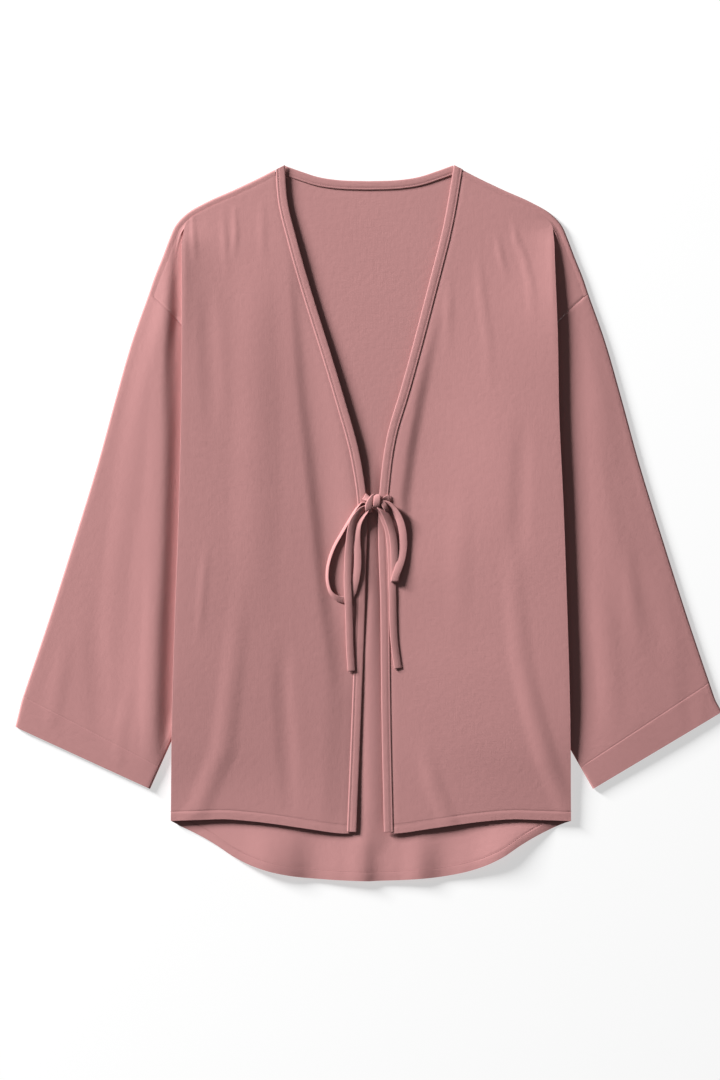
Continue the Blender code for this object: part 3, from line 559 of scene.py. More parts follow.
# %% Creases of the sleeves
SLEEVE_CREASES = {
    "right": [
        table("out y half height", (211.5, 236, 3, 0), (213, 222, 6, -1), (217, 192, 8, -0.9),
              (219, 150, 8, -0.5), (220, 100, 8, 0)),
        table("out y half height", (243, 235, 12, 0), (250, 160, 16, 0.3), (262, 60, 18, 0.5),
              (276, -40, 18, 0.5), (284, -120, 18, 0.2), (286, -170, 18, 0)),
        table("out y half height", (236, -40, 12, 0), (238, -110, 14, 0.5), (241, -200, 14, 0.5),
              (241, -255, 12, 0.2)),
        table("out y half height", (300, -60, 16, 0), (300, -130, 18, -0.4), (296, -210, 18, -0.3),
              (292, -250, 14, 0)),
        table("out y half height", (330, -120, 12, 0), (340, -170, 14, 0.4), (348, -215, 14, 0.3)),
        table("out y half height", (262, -170, 10, 0), (270, -215, 10, 0.3), (276, -262, 10, 0.2)),
    ],
    "left": [
        table("out y half height", (262, 130, 18, 0), (276, 60, 22, -0.7), (300, -40, 24, -0.8),
              (318, -120, 22, -0.4), (326, -160, 20, 0)),
        table("out y half height", (246, -40, 18, 0), (258, -110, 20, 0.6), (266, -180, 18, 0.5),
              (268, -230, 16, 0)),
        table("out y half height", (345, -140, 14, 0), (352, -190, 16, -0.5), (356, -225, 14, -0.2)),
        table("out y half height", (220, 306, 4, 0), (222.5, 298, 4, 0.4), (227, 290, 4, 0)),
        table("out y half height", (284, 0, 10, 0), (290, -80, 12, 0.4), (296, -150, 12, 0)),
    ],
}
BESIDE_FOLD = {
    "right": table(
        "off z",
        (0, -1.6), (4, -1.2), (8, -0.2), (12, 1.3), (16, 2.4), (20, 2.8), (26, 2.7), (40, 1.8),
        (55, 0.9), (75, 0.3), (100, 0.1), (180, 0.1),
    ),
    "left": table(
        "off z",
        (0, -1), (10, -0.8), (25, 0), (45, 1), (70, 1.4), (100, 1.2), (180, 0.2),
    ),
}

# %% [markdown]
# ## Upper faces
# Two functions give the height of the cloth's upper face at any point, one for a sleeve with the
# shoulder above it and one for a front. All panels that meet there take their height from them.

# %% Upper faces
def sleeve_outer_out(y):
    """How far out the outer edge of a sleeve, and of the shoulder above it, is."""
    outs = np.concatenate([SHOULDER["out"][3:-1], SLEEVE_OUTER["out"], CUFF_TIP[:1]])
    ys = np.concatenate([SHOULDER["y"][3:-1], SLEEVE_OUTER["y"], CUFF_TIP[1:]])
    return np.interp(y, ys[::-1], outs[::-1])


def sleeve_inner_out(y):
    """How far out the inner edge of a sleeve is."""
    return smooth(SLEEVE_INNER["y"], SLEEVE_INNER["out"], y)


PUFF_TOP = 0.336            # y at which the sleeve starts to puff up
PUFF_END = -0.300


def sleeve_top(side, plan):
    """Height of the upper face of a sleeve or of the shoulder above it, over the floor."""
    out, y = plan[..., 0], plan[..., 1]
    off = out - fold_out(side, y)
    to_edge = sleeve_outer_out(y) - out
    puff = smooth(BESIDE_FOLD[side]["off"], BESIDE_FOLD[side]["z"], off)
    puff = puff * ease(to_edge / 0.030) * ease((off + 0.010) / 0.010)
    puff = puff * ease((PUFF_TOP - y) / 0.050) * ease((y - PUFF_END) / 0.090)
    puff = puff * ease((out - sleeve_inner_out(y)) / 0.012)
    creases = relief(plan, SLEEVE_CREASES[side]) * ease(off / 0.006) * ease(to_edge / 0.012)
    return FLAT_TUBE + puff + creases


def front_top(side, plan):
    """Height of the upper face of a front, which rises from its band to its side fold."""
    out, y = plan[..., 0], plan[..., 1]
    edge = smooth(EDGE_LIFT["y"], EDGE_LIFT["z"], y)
    fold = smooth(FOLD_LIFT["y"], FOLD_LIFT["z"], y)
    seam = np.interp(y, *seam_lookup[side])
    share = np.clip((out - seam) / (fold_out(side, y) - 0.004 - seam), 0, 1)
    even = ease((0.335 - y) / 0.18)
    rise = (0.65 * share + 0.35 * ease(share)) * even + share ** 5 * (1 - even)
    lift = edge + (fold - edge) * rise
    return lift + SOLID + relief(plan, FRONT_CREASES[side])


seam_lookup = {}
for side in SIDES:
    edge = front_edge(side)
    edge = edge + left_of(edge) * BAND_WIDTH
    seam_lookup[side] = (edge[::-1, 1], edge[::-1, 0])
print("creases", sum(len(rows) for rows in (*FRONT_CREASES.values(), *SLEEVE_CREASES.values())))

# %% [markdown]
# ## Shells of cloth
# A panel is worked out as rows of points on its outer face. Blender's Solidify modifier then gives it
# its wall towards the inside, thinner where a vertex group says so. The result is copied at once, so
# that the piece is a plain mesh. The cut edge of the wall is marked sharp: smooth shading across it
# would draw a bright rim round each panel. The UV map is in metres, and the weave follows it.

# %% Shells
CUT_EDGE = math.radians(50)


def cloth_grid(plan, height, wall, uv=None):
    """Rows of out, y, z, share of the wall, and UV of a panel's outer face."""
    shape = plan.shape[:2]
    uv = plan if uv is None else uv
    layers = [plan, np.broadcast_to(height, shape), np.broadcast_to(wall, shape), uv]
    return np.dstack(layers)


def shell(name, parts, up=True):
    """Piece of cloth from (grid, sign) parts of its outer face, which points up or down."""
    bm = bmesh.new()
    weights = bm.verts.layers.deform.verify()
    uv = bm.loops.layers.uv.new("cloth")
    for rows, sign in parts:
        verts = []
        for line in rows:
            verts.append([bm.verts.new((sign * point[0], point[1], point[2])) for point in line])
            for vert, point in zip(verts[-1], line):
                vert[weights][0] = point[3]
        for row in range(len(rows) - 1):
            for column in range(len(rows[0]) - 1):
                marks = ((row, column), (row + 1, column), (row + 1, column + 1), (row, column + 1))
                if (sign < 0) == up:
                    marks = marks[::-1]
                face = bm.faces.new([verts[i][j] for i, j in marks])
                face.smooth = True
                for loop, (i, j) in zip(face.loops, marks):
                    loop[uv].uv = (sign * rows[i, j, 4], rows[i, j, 5])
    bmesh.ops.remove_doubles(bm, verts=bm.verts, dist=0.00001)
    mesh = bpy.data.meshes.new(name)
    bm.to_mesh(mesh)
    bm.free()
    obj = bpy.data.objects.new(name, mesh)
    obj.vertex_groups.new(name="wall")
    bpy.context.scene.collection.objects.link(obj)
    wall = obj.modifiers.new("wall", "SOLIDIFY")
    wall.thickness = SHELL
    wall.offset = -1
    wall.use_quality_normals = True
    wall.vertex_group = "wall"
    bpy.context.view_layer.update()
    graph = bpy.context.evaluated_depsgraph_get()
    obj.data = bpy.data.meshes.new_from_object(obj.evaluated_get(graph))
    obj.data.name = name
    obj.modifiers.clear()
    obj.vertex_groups.clear()
    obj.data.set_sharp_from_angle(angle=CUT_EDGE)
    triangles = sum(len(face.vertices) - 2 for face in obj.data.polygons)
    heights = [vert.co.z * 1000 for vert in obj.data.vertices]
    print(name, triangles, "triangles,", round(min(heights), 2), "to", round(max(heights), 2), "mm high")
    return obj

# %% [markdown]
# ## Distances over a grid
# Seams, hems and grooves keep their distance from an edge. So these measure how far each point of a
# grid is along its row or down its column, and `dip` turns that into a soft hollow.

# %% Distances
def run_across(plan):
    """Distance along each row of a grid from its first column."""
    steps = np.linalg.norm(np.diff(plan, axis=1), axis=2)
    return np.concatenate([np.zeros((len(plan), 1)), np.cumsum(steps, axis=1)], axis=1)


def run_down(plan):
    """Distance down each column of a grid from its first row."""
    return run_across(plan.transpose(1, 0, 2)).T


def dip(distance, width, depth):
    """How much lower cloth lies close to a seam."""
    return depth * (1 - ease(distance / width))


# %% [markdown]
# ## Fronts
# Each front runs from its band to the side fold, turns under there and comes back to the side seam,
# between the front and the sleeve. At the shoulder it runs on past the fold, out to the armhole seam.
# So it is three grids, welded: the main stretch, the fold with the cloth that returns under it, and the
# flap at the shoulder. Near a seam the cloth dips, and its hem is a turned edge with a stitch groove.
# The rows of the flap start where the seam inset cuts the armhole, so that none folds over another.

# %% The fronts
FRONT_SHARES = spread(0.19) / 0.19
FLAP_SHARED_ROWS = 6
FOLD_APEX_Y = 0.324
FOLD_WIDTH = 0.10           # how far a side fold bulges out, as a share of its radius
HEM_CURVE_START = -0.290    # y where the returning cloth starts to follow the hem of the back
FLAP_ROWS = 64              # below the apex of the side fold


def fold_radius(side, y):
    """Outside radius of the side fold, which starts from nothing at its apex."""
    plan = np.column_stack([fold_out(side, y) - 0.003, y])
    return np.clip((front_top(side, plan) - LEG_UNDERSIDE) / 2, LEAST_RADIUS, None)


def front_plan(side):
    """Plan of the main stretch of a front between its band, shoulder seam, side fold and hem."""
    first_station = BAND_WIDTH - TUCK
    stations = first_station + FRONT_SHARES * (FOLD_START - first_station)
    top = shoulder(SHOULDER_WRAP + SEAM_GAP, stations)
    hem_out = fold_out(side, FOLD[side]["y"][-1]) - 0.002
    hem_y = float(smooth(FRONT_HEM["out"], FRONT_HEM["y"], hem_out))
    upper = np.linspace(top[-1, 1], FOLD_APEX_Y, FLAP_SHARED_ROWS)
    middle = np.arange(FOLD_APEX_Y - 0.002, hem_y + 0.014, -STEP)
    above_hem = (0.0125, 0.0110, 0.0103, 0.0100, 0.0097, 0.0090, 0.0065, 0.0035, 0.0012, 0.0)
    y = np.concatenate([upper, middle, hem_y + np.array(above_hem)])
    blend = ease((FOLD_APEX_Y - y) / 0.018)
    folded = fold_out(side, y) - fold_radius(side, y) * FOLD_WIDTH
    outer = np.column_stack([HIDDEN_FOLD["out"][0] * (1 - blend) + folded * blend, y])
    outer[:FLAP_SHARED_ROWS, 0] = np.linspace(top[-1, 0], HIDDEN_FOLD["out"][0], FLAP_SHARED_ROWS)
    edge = front_edge(side)
    seam = edge + left_of(edge) * (BAND_WIDTH - TUCK)
    hem_start = np.interp(FRONT_HEM["y"][0], seam[::-1, 1], seam[::-1, 0])
    hem_outs = hem_start + FRONT_SHARES * (outer[-1, 0] - hem_start)
    bottom = np.column_stack([hem_outs, smooth(FRONT_HEM["out"], FRONT_HEM["y"], hem_outs)])
    bottom[-1] = outer[-1]
    inside = (seam[:, 1] < top[0, 1] - 0.010) & (seam[:, 1] > bottom[0, 1] + 0.005)
    inner_line = np.vstack([top[:1], seam[inside], bottom[:1]])
    inner = at_length(inner_line, lengths(outer) / lengths(outer)[-1] * lengths(inner_line)[-1])
    return fill(top, bottom, inner, outer)


def front_main(side, plan):
    """Main stretch of a front, with its dips at the seams and its hem."""
    height = front_top(side, plan)
    across, down = run_across(plan), run_down(plan)
    to_hem = down[-1] - down
    height = height - dip(np.clip(across - TUCK, 0, None), 0.0030, 0.0002)
    height = height - dip(down, SEAM_DIP_WIDTH, 0.0001)
    height = height + 0.0001 * ease((HEM_WIDTH + 0.0002 - to_hem) / 0.0008)
    height = height - 0.0002 * np.exp(-((to_hem - HEM_WIDTH) / 0.0006) ** 2)
    wall = np.where(to_hem < HEM_WIDTH, 1.0, 0.8)
    return cloth_grid(plan, height, wall)

# %% [markdown]
# ## The side fold and what returns under it
# From the end of each row the cloth goes round a small arc, back under the front and, below the
# underarm, down off the sleeve to the side seam. The arc is as high as the front is there, and it
# closes to nothing at its apex under the shoulder.

# %% The side fold
def front_return(side, main):
    """Side fold of a front and the cloth that returns under it."""
    rows = main[FLAP_SHARED_ROWS - 1:, -1]
    out, y, top = rows[:, 0], rows[:, 1], rows[:, 2]
    radius = np.clip((top - LEG_UNDERSIDE) / 2, LEAST_RADIUS, None)
    places = [np.column_stack([out, y, top])]
    for angle in np.linspace(0, math.pi, ARC_STEPS + 1)[1:]:
        places.append(np.column_stack(
            [out + radius * FOLD_WIDTH * math.sin(angle), y, top - radius * (1 - math.cos(angle))]))
    level = top - 2 * radius
    end = hidden_out(y) + SEAM_GAP
    end = np.where(y > UNDERARM_Y, np.minimum(end, out - 0.0005), end)
    on_floor = ease((UNDERARM_Y - y) / UNDERARM_DROP)
    sleeve_edge = np.where(y > UNDERARM_Y, end + SLOPE + 0.0015, sleeve_inner_out(y) - 0.0004)
    sleeve_edge = np.where(y < SLEEVE_INNER["y"][-1], out, sleeve_edge)
    over = np.minimum(sleeve_edge, out - 0.0002)
    foot = np.maximum(over - SLOPE, end + 0.0002)
    foot = np.minimum(foot, over - 0.0001)
    low = level + (0.0002 - level) * on_floor
    drop = smooth(BACK_HEM["out"], BACK_HEM["y"], end[-1]) - y[-1]
    curved = ease((HEM_CURVE_START - y) / 0.030) * drop
    stretches = ((out, level, over, level, 6), (over, level, foot, low, 3), (foot, low, end, low, 3))
    for out_1, z_1, out_2, z_2, count in stretches:
        for share in np.linspace(0, 1, count + 1)[1:]:
            place = out_1 + (out_2 - out_1) * share
            fall = curved * (out - place) / np.maximum(out - end, 0.0001)
            places.append(np.column_stack([place, y + fall, z_1 + (z_2 - z_1) * share]))
    places = np.stack(places, axis=1)
    run = run_across(places)
    uv = np.dstack([out[:, None] + run, np.broadcast_to(y[:, None], run.shape)])
    wall = np.clip(radius / 0.0012, 0.04, 0.8)[:, None]
    return cloth_grid(places[:, :, :2], places[:, :, 2], wall, uv)

# %% [markdown]
# ## The flap at the shoulder
# Past the side fold the shoulder of the front lies open, down to the armhole. The top of its inner edge
# is the top of the main stretch's outer edge, point for point, so that the two weld.

# %% The flap
def front_flap(side, main):
    """Outer end of a front's shoulder, past the side fold, down to the armhole seam."""
    shares = spread(SHOULDER_LENGTH - FOLD_START, 0.0026) / (SHOULDER_LENGTH - FOLD_START)
    stations = FOLD_START + shares * (SHOULDER_LENGTH - FOLD_START)
    top = shoulder(SHOULDER_WRAP + SEAM_GAP, stations)
    shared = main[:FLAP_SHARED_ROWS, -1, :2]
    hidden = np.column_stack([HIDDEN_FOLD["out"], HIDDEN_FOLD["y"]])
    rest = at_length(hidden, np.linspace(0, lengths(hidden)[-1], FLAP_ROWS + 1)[1:])
    first = np.vstack([shared, rest])
    arm_shares = np.linspace(0, 1, len(first))
    near_tip = np.linspace(0, 0.1, 50)
    from_tip = np.linalg.norm(armhole(near_tip) - SHOULDER_TIP, axis=1)
    first_share = np.interp(np.linalg.norm(top[-1] - SHOULDER_TIP), from_tip, near_tip)
    last = armhole(first_share + (1 - first_share) * arm_shares, -SEAM_GAP / 2)
    last[0] = top[-1]
    across, down = shares[None, :, None], arm_shares[:, None, None]
    flat = (1 - across) * first[:, None] + across * last[:, None]
    flat = flat + (1 - down) ** 4 * (top - flat[0])[None]
    height = sleeve_top(side, flat)
    joined = ease((flat[..., 0] - flat[:, :1, 0]) / 0.012)
    at_fold = np.concatenate([main[:FLAP_SHARED_ROWS, -1, 2], np.full(FLAP_ROWS, FLAT_TUBE)])
    height = at_fold[:, None] * (1 - joined) + height * joined
    to_armhole = run_across(flat)[:, -1:] - run_across(flat)
    height = height - dip(to_armhole, SEAM_DIP_WIDTH, 0.0003)
    height = height - dip(run_down(flat), SEAM_DIP_WIDTH, 0.0001) * joined
    height[:FLAP_SHARED_ROWS, 0] = main[:FLAP_SHARED_ROWS, -1, 2]
    return cloth_grid(flat, height, 0.8)

# %% [markdown]
# ## Making the fronts
# The three grids of a side go into one shell. Its grids are kept for the hem's stitches.

# %% Making the fronts
fronts = {}
front_grids = {}
for side, sign in SIDES.items():
    plan = front_plan(side)
    main = front_main(side, plan)
    front_grids[side] = main
    grids = [main, front_return(side, main), front_flap(side, main)]
    fronts[side] = shell("front_" + side + "_cloth", [(grid, sign) for grid in grids])

# %% [markdown]
# ## Bands
# The edge of the jacket is bound with one narrow band, folded over the raw edge and sewn down. On the
# real one a ridge of cloth lies between the seam and a line of stitches, 2.5 mm apart. So the band's
# section has that groove and ridge in it, and it is swept along the edge like a moulding. It lies on
# the tucked margin of the panel, which is why the panel dips there. At the shoulder the front bands end
# on a slant, in line with the shoulder seam.

# %% The bands
BAND_GROOVE = 0.0079        # from the free edge to the stitches
GROOVE_DEPTH = 0.00015
SLANT_END = 0.022           # stretch over which the slant at the shoulder fades


def band_section(width, thick=0.0012):
    """Closed section of a band: its upper face from the free edge to the seam, then its underside."""
    upper = np.array((
        (0.0000, -0.0006), (0.0002, -0.0003), (0.0008, -0.0001), (0.0022, 0.0000), (0.0050, 0.0000),
        (0.0072, 0.0000), (0.0077, -GROOVE_DEPTH), (0.0081, -GROOVE_DEPTH), (0.0086, 0.0000),
        (0.0094, 0.0000), (0.0101, -0.00015), (BAND_WIDTH, -0.0005),
    ))
    upper[:, 0] *= width / BAND_WIDTH
    under = np.array(((width * 0.97, -thick), (width * 0.5, -thick), (0.0006, -thick)))
    return np.vstack([upper, under])


def band_line(side):
    """Free edge of a front band, its direction across and its height."""
    edge = front_edge(side)
    edge = edge[edge[:, 1] > -0.341]
    run = lengths(edge)[-1]
    edge = at_length(edge, spread(run, 0.003))
    across = left_of(edge)
    along = np.gradient(edge, axis=0)
    along /= np.linalg.norm(along, axis=1)[:, None]
    slant = SHOULDER_LINE[1] - SHOULDER_LINE[0]
    lean = (slant @ along[0]) / (slant @ across[0])
    across = across + lean * along * (1 - ease(lengths(edge) / SLANT_END))[:, None]
    top = front_top(side, edge + across * BAND_WIDTH)
    return edge, across, top + (BAND_TOP - SOLID)


def make_band(name, edge, across, top, sign, width):
    """Swept band along an edge."""
    middle = np.column_stack([sign * edge[:, 0], edge[:, 1], top])
    wide = np.column_stack([sign * across[:, 0], across[:, 1], np.zeros(len(edge))])
    flat = np.broadcast_to((0, 0, 1), middle.shape)
    return sweep(name, middle, wide, flat, band_section(width))

# %% [markdown]
# ## Making the bands
# One band runs down each front and one round the back of the neck. Where its groove lies, the line is
# kept for the stitches.

# %% Making the bands
bands = {}
stitch_lines = {}
for side, sign in SIDES.items():
    edge, across, top = band_line(side)
    bands[side] = make_band("band_" + side + "_cloth", edge, across, top, sign, BAND_WIDTH)
    groove = edge + across * BAND_GROOVE
    stitch_lines["band_" + side] = [np.column_stack([sign * groove[:, 0], groove[:, 1], top - GROOVE_DEPTH])]

neck = curve(NECK, "out", "y")
neck = neck[lengths(neck) < lengths(neck)[-1] - 0.0004]
neck = np.vstack([neck[::-1] * (-1, 1), neck[1:]])
neck = at_length(neck, spread(lengths(neck)[-1], 0.003))
neck_across = -left_of(neck)
neck_top = np.full(len(neck), BAND_TOP)
bands["neck"] = make_band("band_neck_cloth", neck, neck_across, neck_top, 1, NECK_BAND_WIDTH)
groove = neck + neck_across * BAND_GROOVE * NECK_BAND_WIDTH / BAND_WIDTH
stitch_lines["band_neck"] = [np.column_stack([groove, neck_top - GROOVE_DEPTH])]
print("band lengths", [round(lengths(band_line(side)[0])[-1], 3) for side in SIDES])

# %% [markdown]
# ## Back panel
# The back lies on the floor under everything. Its neck edge is tucked under the neck band, its
# shoulders wrap over to the front, and its curved hem is 6 cm longer than the fronts. The free part of
# the hem doesn't lie dead flat: it lifts in low ripples, which is what throws its soft shadow. Between
# the two fronts a ridge of it stands up a little, as it does on the real one.

# %% The back panel
HEM_RIPPLES = table(
    "x lift",
    (-205, 0), (-175, 2), (-140, 5.2), (-108, 7.8), (-88, 6.6), (-65, 3.4), (-30, 5.2), (-4, 6.4),
    (8, 4.2), (32, 4.4), (56, 6.2), (80, 3.4), (110, 5.2), (148, 8.2), (175, 4.8), (205, 0),
)
RIPPLE_START = -0.315
STITCH_SINK = 0.00008       # of a stitch into the cloth
BACK_CREASES = [
    table("out y half height", (2, 70, 12, 0), (2, 30, 16, 2.6), (3, -10, 19, 4), (3, -100, 21, 3.8),
          (3, -170, 24, 2.8), (4, -318, 26, 2.4), (4, -345, 24, 1)),
]
NECK_COLUMNS = 32


def back_lift(sign, plan):
    """How far the underside of the back is above the floor."""
    x, y = sign * plan[..., 0], plan[..., 1]
    hem = smooth(BACK_HEM["out"], BACK_HEM["y"], plan[..., 0])
    free = ease((RIPPLE_START - y) / np.clip(RIPPLE_START - hem, 0.004, None))
    ripples = smooth(HEM_RIPPLES["x"], HEM_RIPPLES["lift"], x) * free
    signed = np.dstack([x, y])[0] if plan.ndim == 2 else np.dstack([x, y])
    return ripples + relief(signed, BACK_CREASES)


def back_panel(side, sign):
    """Half of the back: flat under everything, and its edge that wraps over the shoulder."""
    seam = curve(NECK, "out", "y")
    seam = seam - left_of(seam) * (NECK_BAND_WIDTH - TUCK)
    neck_top = at_length(seam, np.linspace(0, lengths(seam)[-1], NECK_COLUMNS + 1)[:-1])
    neck_top[0, 0] = 0
    first_station = BAND_WIDTH + 2 * SEAM_GAP
    stations = first_station + spread(SHOULDER_LENGTH - first_station, 0.0042)
    stations[-1] = SHOULDER_LENGTH
    base = shoulder(EDGE_RADIUS, stations)
    top = np.vstack([neck_top, base])
    hem_out = SIDE_SEAM["out"][-1]
    hem_y = float(smooth(BACK_HEM["out"], BACK_HEM["y"], hem_out))
    sides = np.linspace(SIDE_SEAM["y"][0], hem_y, 120)
    side_line = np.column_stack([hidden_out(sides), sides])
    last_line = np.vstack([base[-1:], armhole(np.linspace(0.02, 1, 80), -SEAM_GAP / 2), side_line])
    run = lengths(last_line)[-1]
    above_hem = (0.0015, 0.0030, 0.0050, 0.0072, 0.0086, 0.0094, 0.0098, 0.0102, 0.0108, 0.0125)
    last = at_length(last_line, spread(run, 0.0042, above_hem))
    bottom_out = hem_out * lengths(top) / lengths(top)[-1]
    bottom = np.column_stack([bottom_out, smooth(BACK_HEM["out"], BACK_HEM["y"], bottom_out)])
    down = lengths(last) / lengths(last)[-1]
    first = np.column_stack([np.zeros(len(down)), top[0, 1] + down * (bottom[0, 1] - top[0, 1])])
    plan = fill(top, bottom, first, last)
    to_hem = run_down(plan)[-1] - run_down(plan)
    wall = np.where(to_hem < HEM_WIDTH, 1.0, 0.75)
    wall = wall - 0.35 * np.exp(-((to_hem - HEM_WIDTH) / 0.0006) ** 2)
    height = back_lift(sign, plan)
    flat = cloth_grid(plan, height, wall)
    wrap, heights = [], []
    for angle in np.linspace(0, math.pi, ARC_STEPS + 1):
        wrap.append(shoulder(EDGE_RADIUS * (1 - math.sin(angle)), stations))
        heights.append(EDGE_RADIUS * (1 - math.cos(angle)))
    for inset in (0.0036, 0.0050, 0.0058, 0.0062, SHOULDER_WRAP):
        wrap.append(shoulder(inset, stations))
        heights.append(FLAT_TUBE)
    wrap, heights = np.stack(wrap[::-1]), np.array(heights[::-1])[:, None]
    lowered = heights - dip(run_down(wrap), SEAM_DIP_WIDTH, 0.0001)
    puff = (sleeve_top(side, wrap) - FLAT_TUBE) * ease((heights - EDGE_RADIUS) / EDGE_RADIUS)
    return [flat, cloth_grid(wrap, lowered + puff, 0.75)], plan, to_hem, height

# %% [markdown]
# ## Making the back
# Both halves and both shoulder edges weld into one shell. Its hem is sewn with two lines of stitches.

# %% Making the back
SECOND_ROW = 0.0078         # from the hem to the second line of its stitches
back_parts = []
hem_lines = []
for side, sign in SIDES.items():
    grids, plan, to_hem, height = back_panel(side, sign)
    back_parts += [(grid, sign) for grid in grids]
    for inset in (HEM_WIDTH, SECOND_ROW):
        line = []
        for column in range(plan.shape[1]):
            away = to_hem[::-1, column]
            values = (plan[::-1, column, 0], plan[::-1, column, 1], height[::-1, column])
            line.append([np.interp(inset, away, value) for value in values])
        line = np.array(line) * (sign, 1, 1) + (0, 0, SHELL - STITCH_SINK)
        hem_lines.append(line)
stitch_lines["back"] = hem_lines
back = shell("back_panel_cloth", back_parts, up=False)
print("back hem line", round(lengths(hem_lines[0])[-1] * 2, 3), "m")

# %% [markdown]
# ## Sleeves
# A sleeve is one piece, sewn into a tube and set on the armhole. Lying flat, its two layers meet in a
# soft fold at the outer and the hidden inner edge. So each is made of closed rings from the armhole to
# the cuff, with a 35 mm turned hem. Its upper layer puffs up beside the body and drops under the front.
# The hidden fold starts tight at the underarm and opens to the same round as the outer one.

# %% The sleeves
SLEEVE_SHARES = np.concatenate([[0], np.linspace(0.035, 0.965, 56), [1]])
TIGHT_RADIUS = 0.0005
CUFF_GROOVE = 0.00012


def sleeve(side):
    """Outer face of a sleeve as closed rings, and how far each ring is from the cuff."""
    outer = np.vstack([curve(SLEEVE_OUTER, "out", "y"), CUFF[side]["outer"]])
    inner = np.vstack([curve(SLEEVE_INNER, "out", "y"), CUFF[side]["inner"]])
    run = lengths(outer)[-1]
    from_cuff = np.array((CUFF_HEM + 0.0020, CUFF_HEM + 0.0008, CUFF_HEM + 0.0003, CUFF_HEM,
                          CUFF_HEM - 0.0003, CUFF_HEM - 0.0008, CUFF_HEM - 0.0020))
    cuff_rows = np.arange(CUFF_HEM - 0.005, 0.004, -STEP)
    places = np.concatenate([
        (0.0, 0.0005, 0.0013, 0.0025), np.arange(0.0045, run - CUFF_HEM - 0.003, STEP),
        run - from_cuff, run - cuff_rows, (run - 0.0025, run - 0.001, run),
    ])
    starts = armhole(SLEEVE_SHARES, SEAM_GAP / 2)
    bow = starts - (SHOULDER_TIP + SLEEVE_SHARES[:, None] * (UNDERARM - SHOULDER_TIP))
    off_outer, off_inner = left_of(outer), -left_of(inner)
    rings = []
    for share in places / run:
        tip = at_length(outer, [share * run])[0]
        foot = at_length(inner, [share * lengths(inner)[-1]])[0]
        line = tip + SLEEVE_SHARES[:, None] * (foot - tip) + bow * (1 - share) ** 2
        first_way = -off_outer[round(share * (len(outer) - 1))]
        last_way = off_inner[round(share * (len(inner) - 1))]
        if share == 0:
            first_way = (line[1] - line[0]) / np.linalg.norm(line[1] - line[0])
        flat = line.copy()
        inner_radius = TIGHT_RADIUS + (EDGE_RADIUS - TIGHT_RADIUS) * ease(share / 0.4)
        flat[0] = line[0] + first_way * EDGE_RADIUS
        flat[-1] = line[-1] - last_way * inner_radius
        top = sleeve_top(side, flat) - dip(share * run, SEAM_DIP_WIDTH, 0.0005)
        from_end = run * (1 - share)
        top = top + 0.0001 * ease((CUFF_HEM + 0.0002 - from_end) / 0.0010)
        groove = CUFF_GROOVE * math.exp(-((from_end - CUFF_HEM) / 0.0005) ** 2)
        top = top - groove
        ring = [(*point, groove) for point in flat]
        ends = ((flat[-1], last_way * inner_radius, 1, top[-1]),
                (flat[0], -first_way * EDGE_RADIUS, -1, top[0]))
        for centre, way, turn, height in ends:
            half = height / 2
            for step in range(1, ARC_STEPS):
                angle = math.pi * step / ARC_STEPS
                point = centre + way * math.sin(angle)
                ring.append((*point, half * (1 - turn * math.cos(angle))))
            if turn > 0:
                ring.extend((*point, z) for point, z in zip(flat[::-1], top[::-1]))
        rings.append(ring + ring[:1])
    rings = np.array(rings)
    around = run_across(rings)
    uv = np.dstack([around, np.broadcast_to(-places[:, None], around.shape)])
    # The hem is thicker from the ring after its line. The limit is clear of both, so no rounding decides.
    wall = np.where(run - places < CUFF_HEM - 0.0001, 1.0, 0.8)[:, None]
    return cloth_grid(rings[:, :, :2], rings[:, :, 2], wall, uv), rings, run - places

# %% [markdown]
# ## Making the sleeves
# Each sleeve is one shell. The stitches of its hem run over its upper layer and again under its lower
# one, where they lie sunk in a groove and stay clear of the floor. The hem of each front has one line.

# %% Making the sleeves
sleeves = {}
for side, sign in SIDES.items():
    grid, rings, from_cuff = sleeve(side)
    sleeves[side] = shell("sleeve_" + side + "_cloth", [(grid, sign)])
    hem = rings[int(np.argmin(np.abs(from_cuff - CUFF_HEM)))] * (sign, 1, 1)
    layer = len(SLEEVE_SHARES)
    over = hem[layer + ARC_STEPS - 1:][:layer] - (0, 0, STITCH_SINK)
    stitch_lines["sleeve_" + side] = [over, hem[:layer] + (0, 0, STITCH_SINK)]

for side, sign in SIDES.items():
    grid = front_grids[side]
    down = run_down(grid[:, :, :2])
    line = []
    for column in range(grid.shape[1]):
        away = (down[-1, column] - down[:, column])[::-1]
        line.append([np.interp(HEM_WIDTH, away, grid[::-1, column, i]) for i in range(3)])
    stitch_lines["front_" + side] = [np.array(line) * (sign, 1, 1) - (0, 0, STITCH_SINK)]
for name, lines in stitch_lines.items():
    print("stitch lines of", name, round(sum(lengths(line)[-1] for line in lines), 2), "m")

# %% [markdown]
# ## The knot
# The knot is where the two straps cross: short stretches of strap that arch over each other. It is
# built of such stretches, each swept over its own short arch, so that it shows folds and not a ball.
# They stay low, because a knot in so soft a strap pulls flat. The number after each table is the
# thickness of that stretch, where the strap is bunched up.

